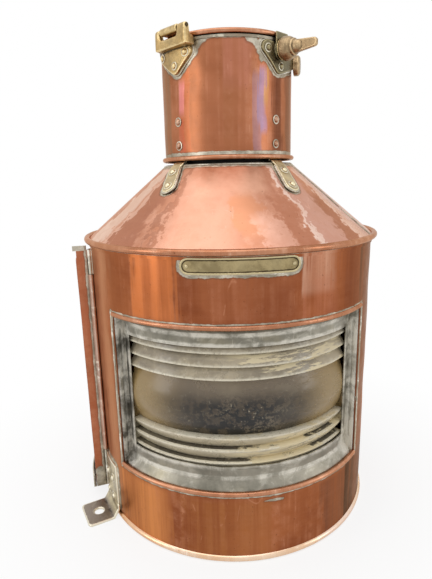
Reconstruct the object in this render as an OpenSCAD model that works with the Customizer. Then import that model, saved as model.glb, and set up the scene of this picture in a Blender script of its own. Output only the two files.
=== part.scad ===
// Ship's bow side-light lantern: a sheet-copper oil lamp with a dioptric lens.
// Millimetres. The origin is the centre of the base on the lamp's axis, +Z is up and the
// middle of the lens looks along -Y. Bearings are degrees round the axis from -Y, positive
// towards +X. Sheet-metal sections are drawn as one side of the sheet and a thickness.

/* [Body] */
// Outside radius of the body wall
body_r = 136; // [125:1:165]
// Height of the top edge of the body wall
body_h = 264; // [252:1:320]
// Thickness of the copper sheet
sheet_t = 1.2; // [0.9:0.1:1.5]
// Tube radius of the rolled bead round the base
base_bead_r = 3; // [2.4:0.1:4]
// How far the base bead stands out from the wall
base_bead_out = 2; // [1:0.1:3]
// Height of the top face of the raised floor
floor_z = 17.2; // [16:0.2:24]
// Radius of an air hole in the floor
air_hole_r = 4; // [2:0.5:6]
// Number of air slots low in the back of the wall
air_slots = 6; // [3:1:7]

/* [Lens opening] */
// Bearing of each upright edge of the opening
opening_angle = 52.5; // [44:0.5:56]
// Height of the bottom edge of the opening
opening_z0 = 65; // [56:1:78]
// Height of the top edge of the opening
opening_z1 = 209; // [188:1:232]
// Tube radius of the rolled beads along the opening
opening_bead_r = 2.2; // [1.8:0.1:3]
// Distance the frame stands back from the outside of the wall
frame_depth = 9; // [7:0.5:14]
// Width of the lips that hold the lens
lip_w = 10.5; // [8:0.5:14]
// Width of the flange behind the wall
flange_w = 17; // [10:1:20]

/* [Lens] */
// Thickness of the lens at a prism edge
lens_t = 14; // [11:0.5:20]
// Height of the middle belt
belt_h = 51; // [36:1:60]
// Height of one prism
prism_h = 11.4; // [8:0.2:13]
// Number of prisms above and below the belt
prisms = 3; // [1:1:3]
// Depth of a prism
prism_d = 6.5; // [4:0.5:8]
// How far the belt bulges past the prism edges
belt_crown = 1.0; // [0:0.2:1.4]
// Gap between the lens and the lips
lens_gap = 0.3; // [0.2:0.1:0.6]

/* [Name plate] */
// Width of the plate
plate_w = 91; // [50:1:110]
// Height of the plate
plate_h = 13; // [8:0.5:16]
// Thickness of the plate
plate_t = 1.6; // [1:0.1:2.5]

/* [Foot brackets] */
// Bearings of the two brackets
foot_angles = [-65, 115];
// Width of the tab
foot_w = 34; // [24:1:40]
// Distance of the tab's end from the axis, past the body wall
foot_reach = 31; // [26:1:45]
// Distance of the bolt hole from the body wall
foot_hole_reach = 17; // [14:1:18]
// Radius of the bolt hole
foot_hole_r = 4.5; // [3:0.25:6]
// Height of the upright leaf's top
foot_leaf_h = 55; // [42:1:60]
// Thickness of the bracket
foot_t = 2.4; // [1.6:0.1:2.6]

/* [Roof] */
// How far the eave bead stands out from the body wall
eave_out = 5.3; // [4.5:0.1:9]
// Tube radius of the eave bead
eave_bead_r = 2.7; // [2.4:0.1:3.6]
// Radius of the roof's top edge past the chimney wall
neck_out = 0.5; // [0:0.1:1.5]
// Height from the wall's top to the roof's top edge
roof_h = 68.5; // [55:0.5:85]

/* [Chimney] */
// Outside radius of the chimney wall
chimney_r = 60; // [50:0.5:72]
// Height of the vent gap between the roof and the chimney's rim
vent_gap = 2.7; // [1.8:0.1:8]
// Height of the chimney wall
chimney_h = 97; // [86:1:120]
// Tube radius of the chimney's bottom bead
chimney_bead_r = 2.1; // [1.8:0.1:2.6]
// Gap between the chimney wall and the inner flue
flue_gap = 7.3; // [6:0.1:14]
// Turn of the chimney's fittings round the axis
fitting_turn = -5; // [-10:1:10]
// Width of a strap
strap_w = 13; // [9:0.5:16]
// Thickness of a strap
strap_t = 1.6; // [1:0.1:1.8]
// Length of a strap down the roof
strap_l = 40; // [34:1:52]
// Turn of each strap's leaf on the roof
strap_twist = [28, -19, 12, -15];

/* [Lid] */
// How far the lid's bead stands out from the chimney wall
lid_out = 2.5; // [1.5:0.1:3]
// Tube radius of the lid's bead
lid_bead_r = 2; // [1.5:0.1:2.4]
// Height of the gap under the lid's bead
lid_gap = 0.8; // [0.6:0.1:4]
// Height of the lid's crown
lid_crown = 4; // [1:0.5:6]
// Length of the lid's hinge knuckle
lid_knuckle_l = 21.6; // [14:0.2:24]
// Radius of the hinge knuckles
lid_knuckle_r = 3; // [2.6:0.1:3.4]
// Radius of the hinge pin
lid_pin_r = 1.5; // [1:0.1:1.8]

/* [Lid catch] */
// Height of the thumb nut's axis below the chimney's top
nut_drop = 8.7; // [7:0.1:12]
// Radius of the fixed stud
stud_r = 2.5; // [2:0.1:3]
// Room on each side of the stud in the hasp's slot
hasp_gap = 2.2; // [2:0.1:2.6]
// Largest radius of the thumb nut
nut_r = 9.6; // [8:0.2:12]
// Reach of the thumb nut from its seat
nut_l = 32; // [25:0.5:36]

/* [Door] */
// Bearing of the door's hinge
door_front = -73.6; // [-76:0.2:-73]
// Angle the door covers round the back
door_span = 130; // [90:1:134]
// Distance the door stands out from the body wall
door_out = 14.2; // [11:0.2:16]
// Height of the door's bottom
door_z0 = 14; // [12:1:20]
// Gap between the door's top and the body's top edge
door_top_gap = 1; // [0.5:0.5:3]
// Width of the door's rims past its shell
door_rim_w = 2.6; // [1.8:0.1:3.2]
// Radius of the door's hinge knuckles
door_knuckle_r = 1.9; // [1.8:0.1:2.4]
// Radius of the door's hinge pin
door_pin_r = 1; // [0.8:0.05:1.1]
// Height of the door's turn button and knob
door_catch_z = 138; // [100:1:200]

/* [Burner] */
// Radius of the oil font
font_r = 56; // [40:1:62]
// Height of the font's shoulder above the floor
font_h = 40; // [30:1:44]
// Width of the wick
wick_w = 18; // [12:1:20]
// Thickness of the wick
wick_t = 3; // [2:0.5:4]
// Height of the flame's base above the floor
wick_top = 104; // [96:1:112]
// Radius of the wick's driving wheels
wick_wheel_r = 3; // [2.5:0.1:4]

/* [Hidden] */
$fn = 64;
wall_in_r = body_r - sheet_t;
// running gap between parts that move past each other
run_gap = 0.3;
// radial clearance of a pin in its hole
pin_gap = 0.05;
// gap under a rivet's head on a curved sheet
head_gap = 0.05;
total_h = body_h + roof_h + vent_gap + chimney_h + 60;

// base bead and floor
base_bead_at = [body_r + base_bead_out - base_bead_r, base_bead_r];

// lens opening, frame and lens
lip_out_r = body_r - frame_depth;
lip_in_r = lip_out_r - sheet_t;
frame_slope_h = 9.5;
frame_z0 = opening_z0 + frame_slope_h;
frame_z1 = opening_z1 - frame_slope_h + 1.5;
lens_r = lip_in_r - lens_gap - belt_crown;
lens_in_r = lens_r - lens_t;
lens_mid_z = (frame_z0 + frame_z1) / 2 - 2.5;
lens_z0 = frame_z0 + 2.5;
lens_z1 = frame_z1 - 2.5;
lens_angle = opening_angle - 2;
side_lip_angle = 3.8;
clip_angle = 35;
clip_w_angle = 6;

// roof
eave_z = body_h + eave_bead_r + 0.6;
eave_at = [body_r + eave_out - eave_bead_r, eave_z];
neck_r = chimney_r + neck_out;
neck_z = body_h + roof_h;
roof_foot = [eave_at[0] - 0.35 * eave_bead_r, eave_z - 0.35 * eave_bead_r];
roof_angle = atan2(neck_z - roof_foot[1], roof_foot[0] - neck_r);
seat_t = 1.1;

// chimney
chimney_in_r = chimney_r - sheet_t;
chimney_z0 = neck_z + vent_gap;
chimney_top = chimney_z0 + chimney_h;
chimney_bead_at = [chimney_r + 0.95, chimney_z0 + chimney_bead_r];
flue_r = chimney_in_r - flue_gap;
flue_flange_z = neck_z - 1.4;
flue_h = 66;
strap_angles = [for (i = [0:3]) fitting_turn - 45 + 90 * i];
strap_z = neck_z + 0.6;
strap_turn_s = 6;
strap_rivet_s = [7.5, strap_l - strap_w];
chimney_rivet_z = [chimney_z0 + 13, chimney_z0 + 33];
strap_leg_h = 41;
rivet_r = 4;
rivet_h = 2;
shank_r = 1.5;
burr_t = 0.5;
ring_h = 2;
ring_t = 1.1;

// lid
lid_r = chimney_r + lid_out;
lid_bead_at = [lid_r - lid_bead_r, chimney_top + lid_gap + lid_bead_r];
lid_sheet_z = lid_bead_at[1] + lid_bead_r - sheet_t;
lid_flat_r = chimney_r - 16;
lid_top_z = lid_sheet_z + sheet_t;
lid_skirt_r = chimney_in_r - 4.3;
lid_skirt_z0 = chimney_top - 3.5;
hinge_angle = fitting_turn - 44;
hinge_u = lid_r + 0.8 + lid_knuckle_r + 0.2;
leaf_t = 1.4;
lid_hinge_z = lid_top_z + leaf_t - sheet_t / 2 + lid_knuckle_r - 1.2;
ear_l = [6.5, 11];
knuckle_gap = 0.4;
hinge_block_l = ear_l[0] + lid_knuckle_l + ear_l[1] + 2 * knuckle_gap;
// the block sits off the middle of its plate
hinge_s = [2.3 - hinge_block_l / 2, 2.3 + hinge_block_l / 2];
hinge_block_z0 = chimney_top - 6.5;
hinge_bar_z1 = lid_hinge_z - lid_knuckle_r - 2.8;
hinge_bar_d = 8;
casting_t = 3.4;
casting_r = chimney_r + casting_t;
casting_corner_r = 5.5;
casting_rivet_r = 3.6;
ear_s1 = hinge_s[0] + ear_l[0] + knuckle_gap;
plate_z1 = chimney_top - ring_h - 0.3;
hinge_rivet_z = hinge_block_z0 - casting_rivet_r - 0.3;
hinge_plate_at = [[-17.5, hinge_rivet_z + 1], [0, chimney_top - 20.6], [12.5, hinge_rivet_z + 1]];
hinge_rivets_at = [[-17, hinge_rivet_z], [0.5, chimney_top - 19.5], [13, hinge_rivet_z]];

// lid catch
catch_angle = fitting_turn + 48;
catch_z = chimney_top - nut_drop;
catch_t = 2.2;
catch_r = chimney_r + catch_t;
catch_plate_at = [[-14.6, plate_z1 - 5.5], [-1.1, chimney_top - 21.8], [22.9, chimney_top - 15]];
catch_rivets_at = [[-14.6, plate_z1 - 6.5], [0.4, chimney_top - 21.3]];
boss_t = 0.3;
boss_r = 8;
hasp_t = 1;
hasp_w = 2 * (stud_r + hasp_gap + 3.2);
hasp_r0 = max(catch_r + boss_t, lid_r) + run_gap;
washer_t = 0.8;
washer_r0 = hasp_r0 + hasp_t + 2 * run_gap;
nut_r0 = washer_r0 + washer_t + run_gap;
stud_l = 8;
stud_end_r = nut_r0 + stud_l;
hasp_z0 = catch_z - 5;
round_stud_angle = catch_angle + 30;
round_stud_z = chimney_top - 15.5;
round_stud_r = 8.6;

// door
door_r = body_r + door_out;
door_z1 = body_h - door_top_gap;
door_back = door_front - door_span;
door_in_r = body_r + 1.4;
door_hinge_r = body_r + door_knuckle_r + run_gap;
door_flange_r0 = door_hinge_r + door_knuckle_r + 0.4;
door_shell_z1 = door_z1 - 12;
door_opening = [door_back + 6, door_front - 7];
door_opening_z = [door_z0 + 13, door_shell_z1 - 6];
knuckle_z = [door_z0 + 2, foot_leaf_h - 0.5, door_z1 - 27, door_z1 - 4];
door_rim_h = 4.5;
door_tray_h = 14;
button_angle = door_back - 5;
button_r0 = door_r + 1.2;
button_t = 2.5;
button_l = 20;
button_pin_r = 2;
knob_angle = door_back + 9;

// burner
font_top_z = floor_z + font_h + 9;
font_t = 1;
burner_angle = door_front - door_span / 2;
collar_r = 19;
collar_in_r = 14;
burner_z0 = font_top_z + 3.6;
burner_h = 20;
burner_r = 18;
spindle_z = burner_z0 + 8;
spindle_r = 1.2;
wheel_gap = 0.2;
spindle_off = wick_t / 2 + wick_wheel_r + wheel_gap;
tube_gap = 0.3;
tube_wall = 0.8;
wick_z1 = floor_z + wick_top;
gallery_z = burner_z0 + burner_h + 1;
glass_z1 = opening_z1 - 10;

// ---- shared shapes ----

function unit(v) = v / norm(v);
function left_of(d) = [-d[1], d[0]];
function mitre(a, b, t) = let (m = unit(a + b)) m * t / (m * a);
// normal of the stretch of a line that ends at point i
function normal_at(p, i) = left_of(unit(p[i] - p[i - 1]));
// a line's copy at a distance t to the left of its travel
function side_line(p, t) = [for (i = [0:len(p) - 1])
    p[i] + mitre(normal_at(p, max(i, 1)), normal_at(p, min(i + 1, len(p) - 1)), t)];
function reversed(p) = [for (i = [len(p) - 1:-1:0]) p[i]];

// Section of a bent sheet: the line is one side, the sheet lies to its left
module sheet(line, t) {
    polygon(concat(line, reversed(side_line(line, t))));
}

// Spins a section drawn in radius and height from bearing a0 to bearing a1
module swept(a0, a1) {
    rotate([0, 0, a0 - 90]) rotate_extrude(angle = a1 - a0) children();
}

module spun() {
    rotate_extrude() children();
}

// A ring, or the part of it between two bearings
module sector(r0, r1, z0, z1, a0, a1) {
    swept(a0, a1) translate([r0, z0]) square([r1 - r0, z1 - z0]);
}

module ring(r0, r1, z0, z1) {
    spun() translate([r0, z0]) square([r1 - r0, z1 - z0]);
}

// Turns a child drawn with +X outwards to a bearing
module at_bearing(a) {
    rotate([0, 0, a - 90]) children();
}

// Puts a child drawn along +Z on a cylinder of radius r, pointing outwards
module outward(a, r, z, s = 0) {
    at_bearing(a) translate([r, s, z]) rotate([0, 90, 0]) children();
}

function heading(v) = atan2(v[1], v[0]);
function ray(a) = [cos(a), sin(a)];

// Outline round equal circles on the given centres, which run anticlockwise
module round_outline(centres, r) {
    n = len(centres);
    steps = 10;
    polygon([for (i = [0:n - 1])
        let (at = centres[i], came = heading(at - centres[(i + n - 1) % n]),
             goes = heading(centres[(i + 1) % n] - at), turn = (goes - came + 720) % 360)
        for (k = [0:steps]) at + r * ray(came - 90 + turn * k / steps)]);
}

// An outline in the tangential and upright directions, pushed outwards at a bearing
module push_out(a, r0, r1) {
    at_bearing(a) translate([r0, 0, 0]) rotate([90, 0, 90]) linear_extrude(r1 - r0) children();
}

// A plate of that outline, curved to lie on a cylinder
module curved_plate(a, r0, r1) {
    intersection() {
        ring(r0, r1, 0, total_h);
        push_out(a, r0 / 2, r1 + 1) children();
    }
}

// Bearing offset of a point at tangential distance s on radius r
function bearing_of(s, r) = asin(s / r);

module rivet_head(r, h) {
    ball_r = (r * r + h * h) / (2 * h);
    intersection() {
        translate([0, 0, h - ball_r]) sphere(ball_r);
        cylinder(h = h + 1, r = r + 1);
    }
}

module shank(r, l) {
    translate([0, 0, -l]) cylinder(h = l, r = r);
}

module rivet(r, h, stem_r, stem_l) {
    rivet_head(r, h);
    shank(stem_r, stem_l);
}

// A rivet over a round burr, or washer
module burred_rivet(r, stem_l) {
    cylinder(h = burr_t, r = r);
    rivet(0.62 * r, rivet_h, shank_r, stem_l);
}

// ---- body ----

module base_bead() {
    color("peru") spun() translate(base_bead_at) circle(base_bead_r);
}

module wall_section() {
    difference() {
        translate([wall_in_r, base_bead_r]) square([sheet_t, body_h - base_bead_r]);
        translate(base_bead_at) circle(base_bead_r);
    }
}

module body_shell() {
    slot_step = (door_opening[1] - door_opening[0]) / air_slots;
    color("chocolate") difference() {
        spun() wall_section();
        sector(wall_in_r - 1, body_r + 1, opening_z0, opening_z1, -opening_angle, opening_angle);
        sector(wall_in_r - 1, body_r + 1, door_opening_z[0], door_opening_z[1],
               door_opening[0], door_opening[1]);
        for (i = [0:air_slots - 1]) let (a = door_opening[0] + slot_step * (i + 0.5))
            sector(wall_in_r - 1, body_r + 1, 2 * base_bead_r + 1.2, floor_z - sheet_t - 1.2,
                   a - 3, a + 3);
        at_foot_rivets() shank(shank_r, 3 * sheet_t);
        at_plate_pins() shank(0.8, 2);
    }
}

module body_top_rim() {
    color("tan") ring(body_r, body_r + 1.1, body_h - 2.6, body_h);
}

module floor_plate() {
    holes = 12;
    color("silver") difference() {
        translate([0, 0, floor_z - sheet_t]) cylinder(h = sheet_t, r = wall_in_r);
        for (i = [0:holes - 1]) rotate([0, 0, 360 / holes * i + 12])
            translate([(font_r + wall_in_r) / 2 + 6, 0, 0]) cylinder(h = total_h, r = air_hole_r);
    }
}

// A bead along the wall's edge at height z; the sheet lies below it when side is -1
module opening_bead(z, side) {
    swept(-opening_angle, opening_angle) difference() {
        translate([body_r - sheet_t / 2, z]) circle(opening_bead_r);
        translate([body_r - 10, z - 10]) square([10 - sheet_t, 20]);
        translate([wall_in_r - 1, side > 0 ? z : z - 2 * opening_bead_r])
            square([sheet_t + 1, 2 * opening_bead_r]);
    }
}

module opening_beads() {
    color("sandybrown") {
        opening_bead(opening_z0, -1);
        opening_bead(opening_z1, 1);
    }
}

// ---- lens and its frame ----

module frame_section() {
    sheet([[wall_in_r, opening_z0 - flange_w], [wall_in_r, opening_z0 - opening_bead_r],
           [wall_in_r - 1.8, opening_z0 + 1], [lip_out_r, frame_z0], [lip_out_r, frame_z0 + lip_w]],
          sheet_t);
    sheet([[lip_out_r, frame_z1 - lip_w], [lip_out_r, frame_z1], [wall_in_r - 1.8, opening_z1 - 1],
           [wall_in_r, opening_z1 + opening_bead_r], [wall_in_r, opening_z1 + flange_w]], sheet_t);
}

// A sector on the right side of the opening, or its mirror image on the left
module side_sector(s, r0, r1, z0, z1, a0, a1) {
    sector(r0, r1, z0, z1, s > 0 ? a0 : -a1, s > 0 ? a1 : -a0);
}

module lens_frame() {
    fold = 0.55;
    inset = 0.15;
    color("gainsboro") {
        swept(-opening_angle, opening_angle) frame_section();
        for (s = [-1, 1]) {
            // upright flange behind the wall
            side_sector(s, wall_in_r - sheet_t - inset, wall_in_r - inset,
                        opening_z0 - flange_w + inset, opening_z1 + flange_w - inset,
                        opening_angle - fold / 2, opening_angle + 7);
            // jamb
            side_sector(s, lip_in_r + inset / 2, wall_in_r - inset / 2, opening_z0 - 1,
                        opening_z1 + 1, opening_angle - fold, opening_angle + 0.2);
            // upright lip over the lens's edge
            side_sector(s, lip_in_r + inset, lip_out_r + inset, frame_z0 + inset,
                        frame_z1 - inset, opening_angle - side_lip_angle, opening_angle - fold / 3);
        }
    }
}

// Front of the lens from its middle upwards: the belt, then the prisms and the top edge
function lens_half() = let (half = belt_h / 2, steps = 8)
    concat([for (i = [0:steps]) let (q = i / steps)
                [lens_r + belt_crown - (prism_d + belt_crown) * q * q, half * q]],
           [for (i = [0:prisms - 1]) each [[lens_r, half + i * prism_h],
                                           [lens_r - prism_d, half + (i + 1) * prism_h - 0.2]]]);

module lens() {
    up = lens_half();
    over = lens_z1 - lens_mid_z;
    under = lens_mid_z - lens_z0;
    top = [for (p = up) if (p[1] < over) p];
    low = [for (p = up) if (p[1] < under) p];
    color("khaki", 0.5) swept(-lens_angle, lens_angle) translate([0, lens_mid_z])
        polygon(concat([for (i = [len(low) - 1:-1:1]) [low[i][0], -low[i][1]]], top,
                       [[last(top)[0], over], [lens_in_r, over], [lens_in_r, -under],
                        [last(low)[0], -under]]));
}

function last(p) = p[len(p) - 1];

// Shelf and upstand that hold the lens from behind
module clip_section() {
    shelf = 2.5;
    for (top = [false, true]) {
        z = top ? lens_z1 : lens_z0 - shelf;
        translate([lens_in_r - 1.5, z]) square([lip_in_r - lens_in_r + 1.5, shelf]);
        translate([lens_in_r - 1.5, top ? lens_z1 - 8 : lens_z0 - shelf]) square([1.5, shelf + 8]);
    }
}

module lens_clips() {
    color("goldenrod") for (s = [-1, 1]) let (a = s * clip_angle - clip_w_angle / 2)
        swept(a, a + clip_w_angle) clip_section();
}

// ---- name plate ----

plate_z = body_h - 0.4 - plate_h / 2;
plate_angle = -1.1;
plate_end = plate_w / 2 - plate_h / 2;

module plate_outline(inset) {
    translate([0, plate_z]) round_outline([[-plate_end, 0], [plate_end, 0]], plate_h / 2 - inset);
}

module at_plate_pins() {
    for (s = [-1, 1]) outward(plate_angle + bearing_of(s * (plate_end + 1), body_r), body_r + plate_t, plate_z)
        children();
}

module name_plate() {
    rim_w = 1.5;
    rim_t = 0.7;
    color("darkkhaki") difference() {
        curved_plate(plate_angle, body_r, body_r + plate_t + rim_t) plate_outline(0);
        curved_plate(plate_angle, body_r + plate_t, body_r + 9) plate_outline(rim_w);
        ring(body_r - 1, body_r + 1.1, body_h - 2.6, body_h);
        at_plate_pins() translate([0, 0, 1]) shank(0.8, plate_t + 2);
    }
}

module name_plate_pins() {
    color("darkkhaki") at_plate_pins() rivet(1.5, 0.7, 0.8, plate_t);
}

// ---- foot brackets ----

foot_tab_z = 0;
foot_leaf_w = foot_w - 4;
foot_leaf_angle = bearing_of(foot_leaf_w / 2, body_r);
foot_end_r = body_r + foot_reach;
foot_hole_at_r = body_r + foot_hole_reach;
foot_bend_z = 2 * base_bead_r + 2.6;
foot_rivet_z = [19, 39];
foot_rivet_s = 7.5;
foot_rivet_r = 4.2;

module at_foot_rivets() {
    for (a = foot_angles, s = [-1, 1], z = foot_rivet_z)
        outward(a + bearing_of(s * foot_rivet_s, body_r), body_r + foot_t + head_gap, z)
            children();
}

module foot(a) {
    reach = foot_tab_z + foot_t;
    color("rosybrown") difference() {
        union() {
            sector(body_r, body_r + foot_t, foot_bend_z, foot_leaf_h,
                   a - foot_leaf_angle, a + foot_leaf_angle);
            intersection() {
                at_bearing(a) translate([0, foot_w / 2, 0]) rotate([90, 0, 0])
                    linear_extrude(foot_w)
                    sheet([[foot_end_r, foot_tab_z + foot_t],
                           [body_r + base_bead_out + 5.2, foot_tab_z + foot_t],
                           [body_r + foot_t, foot_bend_z + 1.2],
                           [body_r + foot_t, foot_bend_z + 4.8]], foot_t);
                at_bearing(a) linear_extrude(total_h)
                    round_outline([[body_r - 20, -foot_w / 2 + 4], [foot_end_r - 4, -foot_w / 2 + 4],
                                   [foot_end_r - 4, foot_w / 2 - 4], [body_r - 20, foot_w / 2 - 4]],
                                  4);
            }
        }
        cylinder(h = total_h, r = body_r);
        base_bead();
        at_bearing(a) translate([foot_hole_at_r, 0, 0]) cylinder(h = 20, r = foot_hole_r);
        at_foot_rivets() shank(shank_r, 3 * foot_t);
    }
}

module front_foot() { foot(foot_angles[0]); }
module rear_foot() { foot(foot_angles[1]); }

module foot_rivets() {
    color("gray") at_foot_rivets() burred_rivet(foot_rivet_r, foot_t + sheet_t);
}

// ---- roof ----

// A point on the outside of the roof, a distance s down from its top edge
function roof_point(s) = [neck_r + s * cos(roof_angle), neck_z - s * sin(roof_angle)];

// Lays a child drawn on the XY plane, with +X down the slope, on the roof at a bearing
module on_roof(a, lift = 0) {
    at_bearing(a) translate([neck_r, 0, neck_z]) rotate([0, roof_angle, 0])
        translate([0, 0, lift]) children();
}

// Draws on the roof along strap i's leaf, which turns off the slope a little way down
module on_leaf(i, lift) {
    on_roof(strap_angles[i], lift) translate([strap_turn_s, 0, 0]) rotate([0, 0, strap_twist[i]])
        children();
}

module at_strap_rivets() {
    for (i = [0:3], s = strap_rivet_s) on_leaf(i, strap_t + head_gap) translate([s, 0, 0])
        children();
}

module roof() {
    color("chocolate") difference() {
        spun() {
            sheet([roof_foot, [neck_r, neck_z]], sheet_t);
            translate(eave_at) circle(eave_bead_r);
            translate([wall_in_r - 1, body_h]) square([eave_at[0] - wall_in_r + 1, seat_t]);
        }
        at_strap_rivets() shank(shank_r, 3 * strap_t);
    }
}

module inner_flue() {
    under = roof_point(0) - sheet_t * [sin(roof_angle), cos(roof_angle)];
    flange_r = under[0] + (under[1] - flue_flange_z) / tan(roof_angle);
    color("dimgray") spun()
        sheet([[flange_r, flue_flange_z], [flue_r, flue_flange_z], [flue_r, flue_flange_z + flue_h]],
              sheet_t);
}

// ---- chimney ----

module at_chimney_rivets() {
    for (a = strap_angles, z = chimney_rivet_z) outward(a, chimney_r + head_gap, z) children();
}

module chimney_shell() {
    color("chocolate") difference() {
        spun() {
            translate([chimney_in_r, chimney_z0 + 1.6]) square([sheet_t, chimney_h - 1.6]);
            translate([chimney_in_r, chimney_z0 + 1.6])
                square([chimney_bead_at[0] - chimney_in_r, sheet_t]);
            translate(chimney_bead_at) circle(chimney_bead_r);
        }
        at_chimney_rivets() shank(shank_r, 6);
        at_casting_rivets() shank(shank_r, 8);
    }
}

module chimney_top_ring() {
    color("gainsboro") ring(chimney_r, chimney_r + ring_t, chimney_top - ring_h, chimney_top);
}

module chimney_straps() {
    leg_r = sqrt(pow(chimney_in_r, 2) - pow(strap_w / 2, 2)) - 0.02;
    bend_s = (strap_z - neck_z) / sin(roof_angle);
    bend_r = neck_r - bend_s * cos(roof_angle);
    bent_t = strap_t - 0.1;
    tip = roof_point(strap_turn_s + strap_w);
    color("goldenrod") difference() {
        for (i = [0:3]) {
            intersection() {
                at_bearing(strap_angles[i]) translate([0, strap_w, 0]) rotate([90, 0, 0])
                    linear_extrude(2 * strap_w)
                    sheet([tip, [bend_r, strap_z], [leg_r - bent_t, strap_z],
                           [leg_r - bent_t, strap_z + strap_leg_h]], -bent_t);
                on_roof(strap_angles[i], -10) linear_extrude(strap_leg_h + 30)
                    round_outline([[-2 * strap_leg_h, 0], [strap_turn_s, 0]], strap_w / 2);
            }
            on_leaf(i, 0.05) linear_extrude(strap_t - 0.05)
                round_outline([[1, 0], [strap_l - strap_turn_s - strap_w / 2, 0]], strap_w / 2);
        }
        at_strap_rivets() shank(shank_r, 3 * strap_t);
        at_chimney_rivets() shank(shank_r, 6);
    }
}

module strap_rivets() {
    color("goldenrod") at_strap_rivets() burred_rivet(rivet_r, strap_t + 1.6);
}

module chimney_rivets() {
    color("peru") at_chimney_rivets() burred_rivet(rivet_r, sheet_t + strap_t + 0.4);
}

module lid_rests() {
    rest_angle = 4;
    color("gainsboro") for (a = strap_angles)
        sector(chimney_in_r - sheet_t, chimney_in_r, chimney_top - 14, chimney_top + lid_gap,
               a + 45 - rest_angle, a + 45 + rest_angle);
}

// ---- lid hinge ----

module at_hinge_rivets() {
    for (p = hinge_rivets_at)
        outward(hinge_angle + bearing_of(p[0], casting_r), casting_r + head_gap, p[1]) children();
}

module at_catch_rivets() {
    for (p = catch_rivets_at)
        outward(catch_angle + bearing_of(p[0], catch_r), catch_r + head_gap, p[1]) children();
}

module at_casting_rivets() {
    at_hinge_rivets() children();
    at_catch_rivets() children();
}

// Section of an ear: upright with a full-round top about the hinge pin
module ear_section() {
    translate([hinge_u, lid_hinge_z]) circle(lid_knuckle_r);
    translate([hinge_u - lid_knuckle_r, hinge_block_z0])
        square([2 * lid_knuckle_r, lid_hinge_z - hinge_block_z0]);
}

// Extrudes a section drawn outwards and upwards over tangential distances s0 to s1
module along_hinge(s0, s1) {
    at_bearing(hinge_angle) translate([0, s1, 0]) rotate([90, 0, 0]) linear_extrude(s1 - s0)
        children();
}

module hinge_bracket() {
    color("darkgoldenrod") difference() {
        union() {
            curved_plate(hinge_angle, chimney_r, casting_r)
                round_outline(hinge_plate_at, casting_corner_r);
            along_hinge(hinge_s[0], hinge_s[1]) ear_section();
            along_hinge(hinge_s[0] + 0.1, hinge_s[1] - 0.1)
                translate([hinge_u - hinge_bar_d, hinge_block_z0 + 0.1])
                square([hinge_bar_d, hinge_bar_z1 - hinge_block_z0 - 0.1]);
        }
        translate([0, 0, plate_z1]) cylinder(h = total_h, r = chimney_r + ring_t + run_gap);
        cylinder(h = total_h, r = chimney_r);
        along_hinge(ear_s1 - knuckle_gap, ear_s1 + lid_knuckle_l + knuckle_gap)
            translate([hinge_u - 20, hinge_bar_z1 - 0.1]) square([40, 40]);
        translate([0, 0, chimney_top + lid_gap - run_gap]) cylinder(h = total_h, r = lid_r + 0.4);
        along_hinge(hinge_s[0] - 1, hinge_s[1] + 1) translate([hinge_u, lid_hinge_z])
            circle(lid_pin_r);
        at_hinge_rivets() shank(shank_r, casting_t + 2);
    }
}

module hinge_bracket_rivets() {
    color("goldenrod") at_hinge_rivets() burred_rivet(casting_rivet_r, casting_t + sheet_t);
}

module lid_hinge_pin() {
    color("dimgray") along_hinge(hinge_s[0] + 0.3, hinge_s[1] - 0.3)
        translate([hinge_u, lid_hinge_z]) circle(lid_pin_r);
}

// ---- lid ----

module at_lid_rivets() {
    for (s = [-6, 6]) at_bearing(hinge_angle)
        translate([lid_flat_r + 7, s + ear_s1 + lid_knuckle_l / 2, lid_top_z + leaf_t]) children();
}

module lid_cover() {
    steps = 8;
    color("chocolate") difference() {
        spun() sheet(concat([[lid_bead_at[0], lid_sheet_z], [lid_flat_r, lid_sheet_z]],
                            [for (q = [1:steps]) let (far = 1 - min(q, steps - 1) / steps)
                                [q < steps ? lid_flat_r * far : 0,
                                 lid_sheet_z + lid_crown * (1 - far * far)]]), -sheet_t);
        at_lid_rivets() shank(1, 4);
    }
}

module lid_bead() {
    color("sandybrown") spun() difference() {
        translate(lid_bead_at) circle(lid_bead_r);
        translate([0, lid_sheet_z]) square([lid_bead_at[0], sheet_t]);
    }
}

module lid_skirt() {
    color("dimgray") ring(lid_skirt_r - sheet_t, lid_skirt_r, lid_skirt_z0, lid_sheet_z);
}

module lid_hinge_leaf() {
    color("darkgoldenrod") difference() {
        along_hinge(ear_s1, ear_s1 + lid_knuckle_l) {
            translate([hinge_u, lid_hinge_z]) circle(lid_knuckle_r);
            translate([lid_flat_r + 1, lid_top_z]) square([hinge_u - lid_flat_r - 1, leaf_t]);
        }
        along_hinge(ear_s1 - 1, ear_s1 + lid_knuckle_l + 1)
            translate([hinge_u, lid_hinge_z]) circle(lid_pin_r + pin_gap);
        at_lid_rivets() shank(1, 4);
    }
}

// A forked plate brazed to the outside of the lid's bead, which drops over the stud
module lid_hasp() {
    half = hasp_w / 2;
    slot = stud_r + hasp_gap;
    top = lid_top_z - 0.4;
    block_h = 2.4;
    color("darkgoldenrod") difference() {
        union() {
            push_out(catch_angle, hasp_r0, hasp_r0 + hasp_t)
                translate([-half, hasp_z0]) square([hasp_w, top - hasp_z0]);
            push_out(catch_angle, lid_bead_at[0], hasp_r0 + hasp_t / 2)
                translate([-half + 1, lid_bead_at[1] - block_h / 2]) square([hasp_w - 2, block_h]);
        }
        spun() translate(lid_bead_at) circle(lid_bead_r);
        cylinder(h = total_h, r = lid_bead_at[0] + 1);
        push_out(catch_angle, hasp_r0 - 1, hasp_r0 + hasp_t + 1) {
            translate([-slot, hasp_z0 - 1]) square([2 * slot, catch_z - hasp_z0 + 1]);
            translate([0, catch_z]) circle(slot);
        }
    }
}

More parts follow.
